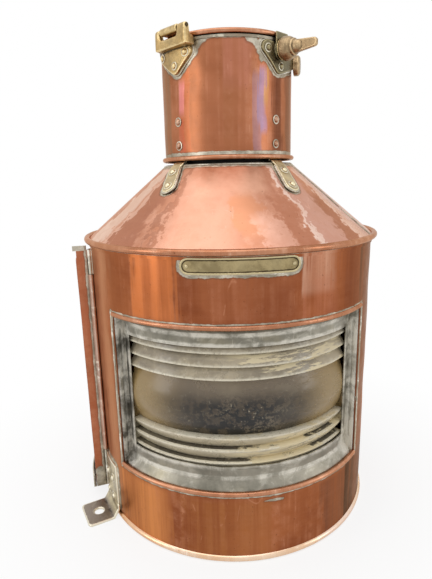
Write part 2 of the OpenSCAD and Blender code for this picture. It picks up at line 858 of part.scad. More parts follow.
module lid_rivets() {
    color("goldenrod") at_lid_rivets() rivet(2.2, 1, 1, sheet_t + leaf_t - 0.2);
}

// ---- lid catch ----

module catch_plate() {
    color("darkgoldenrod") difference() {
        union() {
            curved_plate(catch_angle, chimney_r, catch_r)
                round_outline(catch_plate_at, casting_corner_r);
            outward(catch_angle, chimney_r - 2, catch_z)
                cylinder(h = catch_t + boss_t + 2, r = boss_r);
        }
        cylinder(h = total_h, r = chimney_r);
        translate([0, 0, plate_z1]) cylinder(h = total_h, r = chimney_r + ring_t + run_gap);
        outward(catch_angle, chimney_r - 3, catch_z) cylinder(h = 20, r = stud_r);
        at_catch_rivets() shank(shank_r, catch_t + 2);
    }
}

module catch_plate_rivets() {
    color("goldenrod") at_catch_rivets() burred_rivet(casting_rivet_r, catch_t + sheet_t);
}

module round_stud() {
    color("darkgoldenrod") difference() {
        outward(round_stud_angle, catch_r - 2, round_stud_z) {
            cylinder(h = 6.2, r = round_stud_r);
            translate([0, 0, 6.2]) cylinder(h = 1.6, r1 = round_stud_r, r2 = round_stud_r - 1.8);
        }
        cylinder(h = total_h, r = catch_r);
    }
}

module catch_stud() {
    color("gray") difference() {
        outward(catch_angle, chimney_r - 2, catch_z) cylinder(h = stud_end_r - chimney_r + 2,
                                                              r = stud_r);
        cylinder(h = total_h, r = chimney_r);
    }
}

module catch_washer() {
    color("goldenrod") outward(catch_angle, washer_r0, catch_z) difference() {
        cylinder(h = washer_t, r = nut_r - 1);
        translate([0, 0, -1]) cylinder(h = washer_t + 2, r = stud_r + pin_gap);
    }
}

// Quarter of an ellipse, from [r0, z0] inwards and up to [r1, z1]
function quarter(r0, z0, r1, z1) = let (steps = 5)
    [for (i = [0:steps]) [r1 + (r0 - r1) * cos(90 * i / steps),
                          z0 + (z1 - z0) * sin(90 * i / steps)]];

// A domed nut with a raised ring, a smaller dome and a flat thumb tab
module thumb_nut() {
    dome_z = 0.31 * nut_l;
    ring_r = nut_r - 2.9;
    crown_z = 0.6 * nut_l;
    tab_w = [10.4, 6.6];
    tab_t = 3.4;
    corner = 1.4;
    bore = stud_l + 0.6;
    color("darkgoldenrod") outward(catch_angle, nut_r0, catch_z) difference() {
        union() {
            rotate_extrude()
                polygon(concat([[0, 0], [nut_r - 0.7, 0]], quarter(nut_r, 1.4, nut_r - 4, dome_z),
                               [[ring_r, dome_z + 0.2], [ring_r, dome_z + 1.4]],
                               quarter(nut_r - 4.2, dome_z + 1.8, 0, crown_z)));
            translate([0, tab_t / 2, 0]) rotate([90, 0, 0]) linear_extrude(tab_t)
                polygon([[-tab_w[0] / 2, dome_z + 1], [tab_w[0] / 2, dome_z + 1],
                         [tab_w[1] / 2, nut_l - corner], [tab_w[1] / 2 - corner, nut_l],
                         [corner - tab_w[1] / 2, nut_l], [-tab_w[1] / 2, nut_l - corner]]);
        }
        translate([0, 0, -1]) cylinder(h = bore + 1, r = stud_r + pin_gap);
    }
}

// ---- door ----

// Box on the door's hinge plane: outwards from r0 to r1, centred on the plane
module on_hinge_plane(r0, r1, z0, z1, t) {
    at_bearing(door_front) translate([r0, -t / 2, z0]) cube([r1 - r0, t, z1 - z0]);
}

module at_door_hinge(z0) {
    at_bearing(door_front) translate([door_hinge_r, 0, z0]) children();
}

module hinge_tube(z0, z1) {
    at_door_hinge(z0) cylinder(h = z1 - z0, r = door_knuckle_r);
}

module door_pin_hole() {
    at_door_hinge(0) cylinder(h = total_h, r = door_pin_r + pin_gap);
}

module door_hinge_knuckles() {
    color("tan") difference() {
        for (z = [[knuckle_z[0], knuckle_z[1]], [knuckle_z[2], knuckle_z[3]]]) {
            hinge_tube(z[0], z[1]);
            on_hinge_plane(body_r - 1, door_hinge_r, z[0], z[1], 2.4);
        }
        cylinder(h = total_h, r = body_r, $fn = 360);
        door_pin_hole();
    }
}

module door_hinge_pin() {
    color("dimgray") at_door_hinge(knuckle_z[0] - 0.6)
        cylinder(h = knuckle_z[3] - knuckle_z[0] + 1.2, r = door_pin_r);
}

module door_shell() {
    inset = 0.15;
    fold = [door_back + 0.1, door_back + 0.6];
    color("chocolate") {
        difference() {
            swept(door_back, door_front)
                sheet([[door_in_r, door_z0], [door_r, door_z0], [door_r, door_shell_z1],
                       [door_in_r, door_shell_z1]], sheet_t);
            // a notch in the top edge lets the hinge's upper knuckle through
            at_door_hinge(door_shell_z1 - sheet_t - 1)
                cylinder(h = sheet_t + 2, r = door_knuckle_r + run_gap);
        }
        sector(door_in_r + inset, door_r - sheet_t / 2, door_z0 + inset, door_shell_z1 - inset,
               fold[0], fold[1]);
        on_hinge_plane(door_flange_r0, door_r - inset, door_z0 + inset, door_z1 - inset, sheet_t);
    }
}

module door_knuckle() {
    z0 = knuckle_z[1] + knuckle_gap;
    z1 = knuckle_z[2] - knuckle_gap;
    color("tan") difference() {
        union() {
            hinge_tube(z0, z1);
            on_hinge_plane(door_hinge_r, door_flange_r0, z0, z1, sheet_t);
        }
        door_pin_hole();
    }
}

// Cap along the top of the door's flange
module door_top_rim() {
    r0 = door_flange_r0 + 2;
    color("gainsboro") at_bearing(door_front) translate([r0, sheet_t / 2, door_z1 - door_rim_h])
        cube([door_r + door_rim_w - r0, 1.5, door_rim_h]);
}

module door_tray() {
    color("tan") {
        sector(door_r, door_r + door_rim_w, door_z0, door_z0 + sheet_t, door_back, door_front);
        sector(door_r + door_rim_w - 1.1, door_r + door_rim_w, door_z0, door_z0 + door_tray_h,
               door_back, door_front);
    }
}

module door_knob() {
    color("goldenrod") difference() {
        outward(knob_angle, door_r - 2, door_catch_z) {
            cylinder(h = 12, r = 3);
            translate([0, 0, 11]) cylinder(h = 5, r1 = 5, r2 = 7.5);
            translate([0, 0, 16]) cylinder(h = 3, r1 = 7.5, r2 = 6);
        }
        cylinder(h = total_h, r = door_r);
    }
}

module button_post() {
    color("goldenrod") difference() {
        outward(button_angle, body_r - 2, door_catch_z) {
            cylinder(h = button_r0 - run_gap - body_r + 2, r = 4);
            cylinder(h = button_r0 + button_t + 0.3 - body_r + 2, r = button_pin_r);
            translate([0, 0, button_r0 + button_t + 0.3 - body_r + 2]) cylinder(h = 1.2, r = 3.6);
        }
        cylinder(h = total_h, r = body_r);
    }
}

module turn_button() {
    color("goldenrod") outward(button_angle, button_r0, door_catch_z) linear_extrude(button_t)
        difference() {
            round_outline([[0, 0], [-button_l + 4.5, 0]], 4.5);
            circle(button_pin_r + pin_gap);
        }
}

// ---- oil font and burner ----

filler_at = 0.68 * font_r;
filler_angle = burner_angle + 180;
filler_neck_r = 8;
filler_z1 = floor_z + font_h + 13;
seal_t = 1.5;

module oil_font() {
    shoulder_z = floor_z + font_h;
    color("silver") difference() {
        union() {
            spun() sheet([[0, floor_z], [font_r, floor_z], [font_r, shoulder_z],
                          [collar_r + 4, font_top_z], [collar_in_r, font_top_z]], font_t);
            at_bearing(filler_angle) translate([filler_at, 0, shoulder_z - 4])
                cylinder(h = filler_z1 - shoulder_z + 4, r = filler_neck_r);
        }
        at_bearing(filler_angle) translate([filler_at, 0, shoulder_z - 5])
            cylinder(h = 20, r = filler_neck_r - 1);
    }
}

module font_guides() {
    color("silver") for (s = [-1, 1]) at_bearing(burner_angle)
        translate([-40, s > 0 ? font_r + 0.5 : -font_r - 2, floor_z]) cube([80, 1.5, 8]);
}

module cap_seal() {
    color("saddlebrown") at_bearing(filler_angle) translate([filler_at, 0, filler_z1 + 0.1])
        cylinder(h = seal_t, r = filler_neck_r - 0.4);
}

module filler_cap() {
    skirt = 5;
    cap_z1 = filler_z1 + 0.1 + seal_t;
    color("goldenrod") at_bearing(filler_angle) translate([filler_at, 0, 0]) difference() {
        union() {
            translate([0, 0, filler_z1 - skirt]) cylinder(h = cap_z1 + 1.6 - filler_z1 + skirt,
                                                          r = filler_neck_r + 1.8);
            translate([0, 0, cap_z1 + 1.6])
                cylinder(h = 2, r1 = filler_neck_r + 1.8, r2 = filler_neck_r);
        }
        translate([0, 0, filler_z1 - skirt - 1]) cylinder(h = cap_z1 - filler_z1 + skirt + 1,
                                                          r = filler_neck_r + pin_gap);
    }
}

module burner_collar() {
    color("goldenrod") ring(collar_in_r, collar_r, font_top_z, burner_z0);
}

// Draws along the wick's width on +X, its thickness on Y
module at_burner(z) {
    at_bearing(burner_angle) translate([0, 0, z]) children();
}

module wick_block(w, t, z0, z1) {
    at_burner(z0) translate([-w / 2, -t / 2, 0]) cube([w, t, z1 - z0]);
}

tube_w = wick_w + 2 * tube_gap;
tube_t = wick_t + 2 * tube_gap;

module burner_body() {
    holes = 16;
    color("goldenrod") difference() {
        union() {
            spun() {
                sheet([[collar_in_r, font_top_z - 3], [collar_in_r, burner_z0], [burner_r, burner_z0],
                       [burner_r, burner_z0 + burner_h], [0, burner_z0 + burner_h]], 1);
            }
        }
        wick_block(tube_w + 2 * tube_wall, tube_t + 2 * tube_wall, font_top_z, gallery_z + 5);
        at_burner(spindle_z) translate([0, spindle_off, 0]) rotate([0, 90, 0])
            cylinder(h = 2 * burner_r, r = spindle_r + pin_gap);
        for (i = [0:holes - 1]) outward(360 / holes * (i + 0.5), burner_r - 3, burner_z0 + 15)
            cylinder(h = 6, r = 1.2);
    }
}

module wick_tube() {
    color("peru") difference() {
        wick_block(tube_w + 2 * tube_wall, tube_t + 2 * tube_wall, font_top_z - 6, wick_z1 - 4);
        wick_block(tube_w, tube_t, font_top_z - 7, wick_z1);
        // window for the driving wheels
        at_burner(spindle_z - wick_wheel_r - 1) translate([-tube_w, tube_t / 2 - 0.1, 0])
            cube([2 * tube_w, 3, 2 * wick_wheel_r + 2]);
    }
}

module wick() {
    color("ivory") wick_block(wick_w, wick_t, floor_z + 12, wick_z1);
}

module toothed_wheel(r, depth, teeth) {
    polygon([for (i = [0:teeth - 1])
        each [for (k = [[0.1, r], [0.4, r], [0.55, r - depth], [0.95, r - depth]])
            k[1] * ray(360 / teeth * (i + k[0]))]]);
}

module wick_spindle() {
    color("goldenrod") at_burner(spindle_z) translate([0, spindle_off, 0]) rotate([0, 90, 0]) {
        translate([0, 0, -10]) cylinder(h = burner_r + 42, r = spindle_r);
        for (x = [-6, 2]) translate([0, 0, x]) linear_extrude(4)
            toothed_wheel(wick_wheel_r, 0.7, 9);
    }
}

module wick_knob() {
    ribs = 20;
    knob_r = 9;
    color("goldenrod") at_burner(spindle_z) translate([burner_r + 30, spindle_off, 0])
        rotate([0, 90, 0]) difference() {
            union() {
                cylinder(h = 4, r = knob_r);
                translate([0, 0, -3]) cylinder(h = 9, r = 3.2);
            }
            translate([0, 0, -4]) cylinder(h = 12, r = spindle_r);
            for (i = [0:ribs - 1]) rotate([0, 0, 360 / ribs * i])
                translate([knob_r + 0.3, 0, -1]) cylinder(h = 6, r = 0.7);
        }
}

module glass_gallery() {
    color("goldenrod") difference() {
        spun() {
            sheet([[burner_r - 4, gallery_z - 1], [27, gallery_z - 1], [27, gallery_z + 7]], 1);
        }
        cylinder(h = total_h, r = burner_r - 2.5);
    }
}

module lamp_glass() {
    z0 = gallery_z + 0.2;
    color("white", 0.4) spun()
        sheet([[25.6, z0], [25.6, z0 + 12], [29.5, z0 + 24], [29.5, z0 + 34], [24, z0 + 54],
               [20, z0 + 74], [18.5, glass_z1]], 1.6);
}

base_bead();
body_shell();
body_top_rim();
floor_plate();
opening_beads();
lens_frame();
lens();
lens_clips();
name_plate();
name_plate_pins();
front_foot();
rear_foot();
foot_rivets();
roof();
inner_flue();
chimney_shell();
chimney_top_ring();
chimney_straps();
strap_rivets();
chimney_rivets();
lid_rests();
hinge_bracket();
hinge_bracket_rivets();
lid_hinge_pin();
lid_cover();
lid_bead();
lid_skirt();
lid_hinge_leaf();
lid_hasp();
lid_rivets();
catch_plate();
catch_plate_rivets();
round_stud();
catch_stud();
catch_washer();
thumb_nut();
door_hinge_knuckles();
door_hinge_pin();
door_shell();
door_knuckle();
door_top_rim();
door_tray();
door_knob();
button_post();
turn_button();
oil_font();
font_guides();
cap_seal();
filler_cap();
burner_collar();
burner_body();
wick_tube();
wick();
wick_spindle();
wick_knob();
glass_gallery();
lamp_glass();
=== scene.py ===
import math

import bmesh
import bpy
import numpy as np
from mathutils import Matrix, Vector, noise


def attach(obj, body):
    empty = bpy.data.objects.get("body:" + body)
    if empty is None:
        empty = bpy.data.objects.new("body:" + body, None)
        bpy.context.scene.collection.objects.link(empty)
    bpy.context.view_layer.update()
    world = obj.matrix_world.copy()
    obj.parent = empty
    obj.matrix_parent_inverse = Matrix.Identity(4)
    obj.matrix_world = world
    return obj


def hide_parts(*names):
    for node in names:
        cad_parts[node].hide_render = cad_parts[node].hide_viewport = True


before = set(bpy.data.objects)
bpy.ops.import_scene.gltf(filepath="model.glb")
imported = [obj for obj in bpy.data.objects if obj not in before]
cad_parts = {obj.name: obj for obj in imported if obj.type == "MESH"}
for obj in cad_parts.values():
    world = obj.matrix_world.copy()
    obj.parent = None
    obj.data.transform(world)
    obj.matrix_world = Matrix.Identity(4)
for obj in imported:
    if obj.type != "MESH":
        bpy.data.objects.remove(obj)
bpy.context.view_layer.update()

# ---- sizes, in millimetres, in the same frame as the construction ----
WALL_R, WALL_TOP, SHEET = 136.0, 264.0, 1.2
BASE_BEAD_R, BASE_BEAD_OUT = 3.0, 2.0
FRAME_R, FRAME_LOW, FRAME_HIGH = 134.8, 48.0, 226.0
OPENING_ANGLE, OPENING_LOW, OPENING_HIGH, OPENING_BEAD = 52.5, 65.0, 209.0, 2.2
LIP_R, LIP_W, LIP_LOW, LIP_HIGH = 127.0, 10.5, 74.5, 201.0
LENS_R, LENS_IN_R, LENS_LOW, LENS_HIGH, LENS_MID = 124.5, 110.5, 77.0, 198.5, 135.25
BELT_H, BELT_CROWN, PRISM_H, PRISM_D = 51.0, 1.0, 11.4, 6.5
DOOR_OPENING, DOOR_OPENING_Z = (-197.6, -80.6), (27.0, 245.0)
DOOR_R, DOOR_IN_R, DOOR_FRONT, DOOR_BACK = 150.2, 137.4, -73.6, -203.6
DOOR_LOW, DOOR_SHELL_TOP, DOOR_TOP, DOOR_FLANGE_R = 14.0, 251.0, 263.0, 140.5
EAVE_R, EAVE_Z, EAVE_BEAD = 138.6, 267.3, 2.7
NECK_R, NECK_Z = 60.5, 332.5
ROOF_FOOT = (137.655, 266.355)
CHIMNEY_R, CHIMNEY_TOP, CHIMNEY_BEAD = 60.0, 432.2, 2.1
LID_BEAD, LID_BEAD_AT, LID_SHEET_Z, LID_FLAT_R, LID_CROWN = 2.0, (60.5, 435.0), 435.8, 44.0, 4.0
STRAP_BEARINGS, STRAP_TWIST = (-50, 40, 130, 220), (28, -19, 12, -15)
STRAP_TURN, STRAP_W, STRAP_L, STRAP_T = 6.0, 13.0, 40.0, 1.6
CHIMNEY_RIVETS_Z = (348.2, 368.2)
HINGE_BEARING, CATCH_BEARING, CASTING_R, CATCH_R = -49, 43, 63.4, 62.2
FOOT_BEARINGS, FOOT_T = (-65, 115), 2.4
PLATE_HALF, PLATE_R, PLATE_Z, PLATE_BEARING = 39.0, 6.5, 257.1, -1.1
ROOF_ANGLE = math.atan2(NECK_Z - ROOF_FOOT[1], ROOF_FOOT[0] - NECK_R)
MM = 0.001


# ---- places on the lamp ----
def spot(bearing, r, z, along=0.0):
    """A point in metres, out from the lamp's axis; along is sideways, towards greater bearings."""
    a = math.radians(bearing)
    return Vector((r * math.sin(a) + along * math.cos(a), -r * math.cos(a) + along * math.sin(a), z)) * MM


def outwards(bearing):
    a = math.radians(bearing)
    return Vector((math.sin(a), -math.cos(a), 0))


def bearing_off(s, r):
    return math.degrees(math.asin(s / r))


def on_slope(bearing, s, side, lift=0.0):
    """A point on the roof, s down the slope from the neck and side along it."""
    r = NECK_R + s * math.cos(ROOF_ANGLE) + lift * math.sin(ROOF_ANGLE)
    z = NECK_Z - s * math.sin(ROOF_ANGLE) + lift * math.cos(ROOF_ANGLE)
    return spot(bearing, r, z, side)


def on_strap(i, u, v, lift=0.0):
    """A point on strap i's leaf, u along it and v across it."""
    t = math.radians(STRAP_TWIST[i])
    return on_slope(STRAP_BEARINGS[i], STRAP_TURN + u * math.cos(t) - v * math.sin(t),
                    u * math.sin(t) + v * math.cos(t), lift)


def slope_normal(bearing):
    return outwards(bearing) * math.sin(ROOF_ANGLE) + Vector((0, 0, math.cos(ROOF_ANGLE)))


def steps(a, b, pitch):
    n = max(1, round(abs(b - a) / pitch))
    return [a + (b - a) * i / n for i in range(n + 1)]


def spaced(edges, pitch):
    """Values from the first edge to the last, about pitch apart, that hit every edge."""
    edges = sorted(edges)
    out = []
    for a, b in zip(edges, edges[1:]):
        if b - a > 1e-6:
            out += steps(a, b, pitch)[:-1]
    return out + [edges[-1]]


def rounded(points, radius, cuts=4):
    """A polyline in the (r, z) plane with its inner corners rounded."""
    out = [points[0]]
    for a, b, c in zip(points, points[1:], points[2:]):
        a, b, c = Vector(a), Vector(b), Vector(c)
        back, on = (a - b), (c - b)
        reach = min(radius, back.length * 0.45, on.length * 0.45)
        p, q = b + back.normalized() * reach, b + on.normalized() * reach
        for i in range(cuts + 1):
            t = i / cuts
            out.append(tuple(p * (1 - t) ** 2 + b * 2 * t * (1 - t) + q * t * t))
    return out + [points[-1]]


def along_line(points, pitch):
    """The polyline with extra points about pitch apart."""
    out = []
    for a, b in zip(points, points[1:]):
        n = max(1, round(math.dist(a, b) / pitch))
        out += [tuple(a[k] + (b[k] - a[k]) * i / n for k in range(len(a))) for i in range(n)]
    return out + [tuple(points[-1])]


# ---- making objects ----
def place(name, mesh):
    ob = bpy.data.objects.new(name, mesh)
    bpy.context.scene.collection.objects.link(ob)
    return ob


def made(name, bm):
    """The object that a mesh in hand becomes."""
    mesh = bpy.data.meshes.new(name)
    bm.to_mesh(mesh)
    bm.free()
    return place(name, mesh)


def coat(ob, finish):
    """Gives an object or a node its only finish."""
    ob.data.materials.clear()
    ob.data.materials.append(finish)


def bake(ob):
    """Turns the evaluated object into a plain mesh and takes its modifiers away."""
    graph = bpy.context.evaluated_depsgraph_get()
    mesh = bpy.data.meshes.new_from_object(ob.evaluated_get(graph), preserve_all_data_layers=True,
                                           depsgraph=graph)
    ob.modifiers.clear()
    ob.data = mesh
    mesh.name = ob.name
    return ob


def joined(name, obs):
    for o in bpy.context.selected_objects:
        o.select_set(False)
    for o in obs:
        o.select_set(True)
    bpy.context.view_layer.objects.active = obs[0]
    bpy.ops.object.join()
    obs[0].name = name
    return obs[0]


def smooth(ob, angle=40):
    ob.data.shade_smooth()
    ob.data.set_sharp_from_angle(angle=math.radians(angle))
    return ob


def fit_to(ob, body, finish, slot, *nodes):
    """Gives the piece its finish, and lets it ride on its body for the nodes it stands for."""
    if finish is not None:
        coat(ob, finish)
    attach(ob, body)
    if nodes:
        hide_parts(*nodes)
    return ob


def beaten(point, amount, grain, dents=()):
    """Moves a point of a sheet in and out, as hand work and knocks leave it."""
    out = Vector((point.x, point.y, 0)).normalized()
    shift = amount * noise.noise(point / grain) + 0.4 * amount * noise.noise(point * 2.7 / grain)
    for centre, reach, depth in dents:
        d = (point - centre).length / reach
        if d < 1:
            shift -= depth * (1 - d * d) ** 2
    return point + out * shift


def sheet(name, section, bearings, ring, amount=0.25, grain=55, dents=(), hole=None, thick=SHEET, lap=None):
    """A sheet bent round the lamp's axis from its section's outer face, drawn upwards."""
    dents = [(spot(*c), reach * MM, depth * MM) for c, reach, depth in dents]
    bm = bmesh.new()
    n = len(bearings)
    grid = []
    for r, z in section:
        row = []
        for b in bearings:
            extra = lap(b) if lap else 0.0
            row.append(bm.verts.new(beaten(spot(b, r + extra, z), amount * MM, grain * MM, dents)))
        grid.append(row)
    for j in range(len(section) - 1):
        for i in range(n if ring else n - 1):
            k = (i + 1) % n
            b = bearings[i] + (bearings[1] - bearings[0]) / 2 if k == 0 else (bearings[i] + bearings[k]) / 2
            r, z = [(section[j][q] + section[j + 1][q]) / 2 for q in (0, 1)]
            if hole and hole(b, r, z):
                continue
            bm.faces.new((grid[j][i], grid[j][k], grid[j + 1][k], grid[j + 1][i]))
    loose = [v for v in bm.verts if not v.link_faces]
    bmesh.ops.delete(bm, geom=loose, context="VERTS")
    ob = made(name, bm)
    if thick:
        skin = ob.modifiers.new("sheet thickness", "SOLIDIFY")
        skin.thickness, skin.offset = thick * MM, -1
        bake(ob)
    return smooth(ob)


def patch(name, rows, thick):
    """A plate through a grid of points, with its thickness half to each side."""
    bm = bmesh.new()
    grid = [[bm.verts.new(p) for p in row] for row in rows]
    for low, high in zip(grid, grid[1:]):
        for i in range(len(low) - 1):
            bm.faces.new((low[i], low[i + 1], high[i + 1], high[i]))
    ob = made(name, bm)
    skin = ob.modifiers.new("plate thickness", "SOLIDIFY")
    skin.thickness, skin.offset = thick * MM, 0
    edge = ob.modifiers.new("eased edges", "BEVEL")
    edge.width, edge.segments, edge.limit_method = 0.25 * MM, 2, "ANGLE"
    return smooth(bake(ob))


def swept_solid(name, section, bearings, amount=0.0):
    """A closed section, drawn anticlockwise in (r, z), swept round the axis, with its ends closed."""
    bm = bmesh.new()
    rings = [[bm.verts.new(beaten(spot(b, r, z), amount * MM, 0.04)) for r, z in section] for b in bearings]
    m = len(section)
    for p, q in zip(rings, rings[1:]):
        for i in range(m):
            k = (i + 1) % m
            bm.faces.new((p[i], q[i], q[k], p[k]))
    bm.faces.new(rings[0])
    bm.faces.new(rings[-1][::-1])
    bmesh.ops.triangulate(bm, faces=[f for f in bm.faces if len(f.verts) > 4])
    bmesh.ops.recalc_face_normals(bm, faces=bm.faces)
    return smooth(made(name, bm), 50)


def turned(name, profile, around, facing, sides=28):
    """A part turned about its own axis: profile is (radius, height) upwards from the outside."""
    bm = bmesh.new()
    spin = Vector(facing).to_track_quat("Z", "Y").to_matrix()
    rows = []
    for r, h in profile:
        if r < 1e-6:
            rows.append([bm.verts.new(around + spin @ Vector((0, 0, h * MM)))])
        else:
            rows.append([bm.verts.new(around + spin @ Vector((r * math.cos(t), r * math.sin(t), h)) * MM)
                         for t in [2 * math.pi * i / sides for i in range(sides)]])
    for low, high in zip(rows, rows[1:]):
        for i in range(sides):
            k = (i + 1) % sides
            if len(high) == 1:
                bm.faces.new((low[i], low[k], high[0]))
            elif len(low) == 1:
                bm.faces.new((low[0], high[k], high[i]))
            else:
                bm.faces.new((low[i], low[k], high[k], high[i]))
    bmesh.ops.holes_fill(bm, edges=[e for e in bm.edges if e.is_boundary], sides=0)
    bmesh.ops.recalc_face_normals(bm, faces=bm.faces)
    return smooth(made(name, bm), 45)


def read(items, field, count):
    """A field of a mesh's points or edges as rows of count numbers."""
    flat = np.empty(len(items) * count, dtype=np.float64 if field != "vertices" else np.int64)
    items.foreach_get(field, flat)
    return flat.reshape(-1, count)


def write_mark(mesh, name, values):
    mark = mesh.attributes.get(name) or mesh.attributes.new(name, "FLOAT", "POINT")
    mark.data.foreach_set("value", np.clip(values, 0, 1).astype(np.float32))


def mark_wear(ob, gain):
    """Marks how a mesh bends at each point: 1 on outside corners, a half on flats, 0 inside corners."""
    mesh = ob.data
    at, normal = read(mesh.vertices, "co", 3), read(mesh.vertices, "normal", 3)
    edge = read(mesh.edges, "vertices", 2)
    bend, count = np.zeros(len(at)), np.zeros(len(at))
    for a, b in ((0, 1), (1, 0)):
        d = at[edge[:, b]] - at[edge[:, a]]
        rise = -(d * normal[edge[:, a]]).sum(1) / np.maximum((d * d).sum(1), 1e-12)
        np.add.at(bend, edge[:, a], rise)
        np.add.at(count, edge[:, a], 1)
    bend /= np.maximum(count, 1)
    for _ in range(4):
        near = bend.copy()
        np.add.at(near, edge[:, 0], bend[edge[:, 1]])
        np.add.at(near, edge[:, 1], bend[edge[:, 0]])
        bend = near / (count + 1)
    write_mark(mesh, "wear", 0.5 + gain * bend * MM)


def mark_solder(ob, runs):
    """Marks how near each point of a sheet is to a soldered line: 1 on it, 0 past its reach."""
    mesh = ob.data
    at = read(mesh.vertices, "co", 3)
    mark = np.zeros(len(at))
    for line, reach in runs:
        for p in line:
            d = np.sqrt(((at - np.array(p)) ** 2).sum(1))
            mark = np.maximum(mark, 1 - d / (reach * MM))
    write_mark(mesh, "solder", mark)


def rub_down(mesh, above, rounds):
    """Rounds off what stands above a height, by drawing each point towards its neighbours."""
    at, edge = read(mesh.vertices, "co", 3), read(mesh.edges, "vertices", 2)
    ends, others = edge.ravel(), edge[:, ::-1].ravel()
    count = np.bincount(ends, minlength=len(at))[:, None]
    pull = 0.8 * np.clip((at[:, 2:] / MM - above) / 2, 0, 1)
    for _ in range(rounds):
        near = np.stack([np.bincount(ends, at[others, k], len(at)) for k in range(3)], 1)
        at += (near / count - at) * pull
    mesh.vertices.foreach_set("co", at.ravel())
    mesh.update()


def casting(name, node, body, finish, voxel, rounds=4, gain=1.6, above=None, more=0, slot="brass"):
    """A cast or forged part from its construction: its corners worn round, its skin uneven.

    What stands above a height in millimetres is worn again, more times over."""
    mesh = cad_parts[node].data.copy()
    bm = bmesh.new()
    bm.from_mesh(mesh)
    bmesh.ops.remove_doubles(bm, verts=bm.verts, dist=2e-6)
    bm.to_mesh(mesh)
    bm.free()
    ob = place(name, mesh)
    skin = ob.modifiers.new("skin", "REMESH")
    skin.mode, skin.voxel_size = "VOXEL", voxel * MM
    worn = ob.modifiers.new("worn corners", "SMOOTH")
    worn.factor, worn.iterations = 0.5, rounds
    bake(ob)
    if more:
        rub_down(ob.data, above, more)
    ob.data.shade_smooth()
    mark_wear(ob, gain)
    return fit_to(ob, body, finish, slot, node)


# ---- small helpers for node trees ----
class Value:
    """A node's output that can be reckoned with: each sign adds a Math node."""

    def __init__(self, socket):
        self.socket = socket

    def __add__(self, other):
        return maths("ADD", self, other)

    def __sub__(self, other):
        return maths("SUBTRACT", self, other)

    def __rsub__(self, other):
        return maths("SUBTRACT", other, self)

    def __mul__(self, other):
        return maths("MULTIPLY", self, other)

    def __truediv__(self, other):
        return maths("DIVIDE", self, other)

    def __abs__(self):
        return maths("ABSOLUTE", self)

    __radd__, __rmul__ = __add__, __mul__


def feed(value, socket):
    """Links a node's output to a socket, or sets the socket's own value."""
    if isinstance(value, Value):
        value = value.socket
    if isinstance(value, bpy.types.NodeSocket):
        socket.id_data.links.new(value, socket)
    else:
        socket.default_value = value


def add(tree, kind, links=None, **settings):
    """A node of that kind; links gives its inputs as values or as other nodes' outputs."""
    node = tree.nodes.new(kind)
    for key, value in settings.items():
        setattr(node, key, value)
    for key, value in (links or {}).items():
        feed(value, node.inputs[key])
    return node


def put(tree, kind, links=None, take=0, **settings):
    """Adds a node and gives the output that is taken from it."""
    return Value(add(tree, kind, links, **settings).outputs[take])


def outputs(node):
    return {socket.name: Value(socket) for socket in node.outputs}


def interface(tree, ins, outs):
    for (name, kind), way in [(s, "INPUT") for s in ins] + [(s, "OUTPUT") for s in outs]:
        tree.interface.new_socket(name=name, in_out=way, socket_type="NodeSocket" + kind)
    return outputs(tree.nodes.new("NodeGroupInput")), tree.nodes.new("NodeGroupOutput").inputs


def give(tree, out, **values):
    """Links the values to a tree's named outputs."""
    for name, value in values.items():
        feed(value, out[name])
    return tree


def setting(tree, name):
    return next(s.identifier for s in tree.interface.items_tree
                if s.item_type == "SOCKET" and s.in_out == "INPUT" and s.name == name)


def maths(operation, a, b=0.0, clamp=False):
    tree = (a if isinstance(a, Value) else b).socket.id_data
    return put(tree, "ShaderNodeMath", {0: a, 1: b}, operation=operation, use_clamp=clamp)


def ramp(value, low, high):
    """0 at low, 1 at high, eased between."""
    return put(value.socket.id_data, "ShaderNodeMapRange", {0: value, 1: low, 2: high},
               interpolation_type="SMOOTHSTEP")


def speckle(where, scale, detail=2.0, rough=0.5, twist=0.0):
    """Noise at those coordinates."""
    return put(where.socket.id_data, "ShaderNodeTexNoise",
               {"Vector": where, "Scale": scale, "Detail": detail, "Roughness": rough, "Distortion": twist})


def stretched(where, scale, turn=(0, 0, 0)):
    """The coordinates scaled and turned, for noise that runs one way."""
    return put(where.socket.id_data, "ShaderNodeMapping", {"Vector": where, "Scale": scale, "Rotation": turn})


def tone(hexed):
    """A colour as printed, made linear."""
    parts = [int(hexed[i:i + 2], 16) / 255 for i in (1, 3, 5)]
    return tuple(c / 12.92 if c <= 0.04045 else ((c + 0.055) / 1.055) ** 2.4 for c in parts) + (1,)


def blend(mask, *colours):
    """The first colour where the mask is 0 and the second where it is 1."""
    links = {6 + i: tone(c) if isinstance(c, str) else c for i, c in enumerate(colours)}
    return put(mask.socket.id_data, "ShaderNodeMix", {0: mask, **links}, 2, data_type="RGBA")


def layered(colour, *coats):
    """Each coat is a mask and the colour that it lays over what is below."""
    for mask, over in coats:
        colour = blend(mask, colour, over)
    return colour


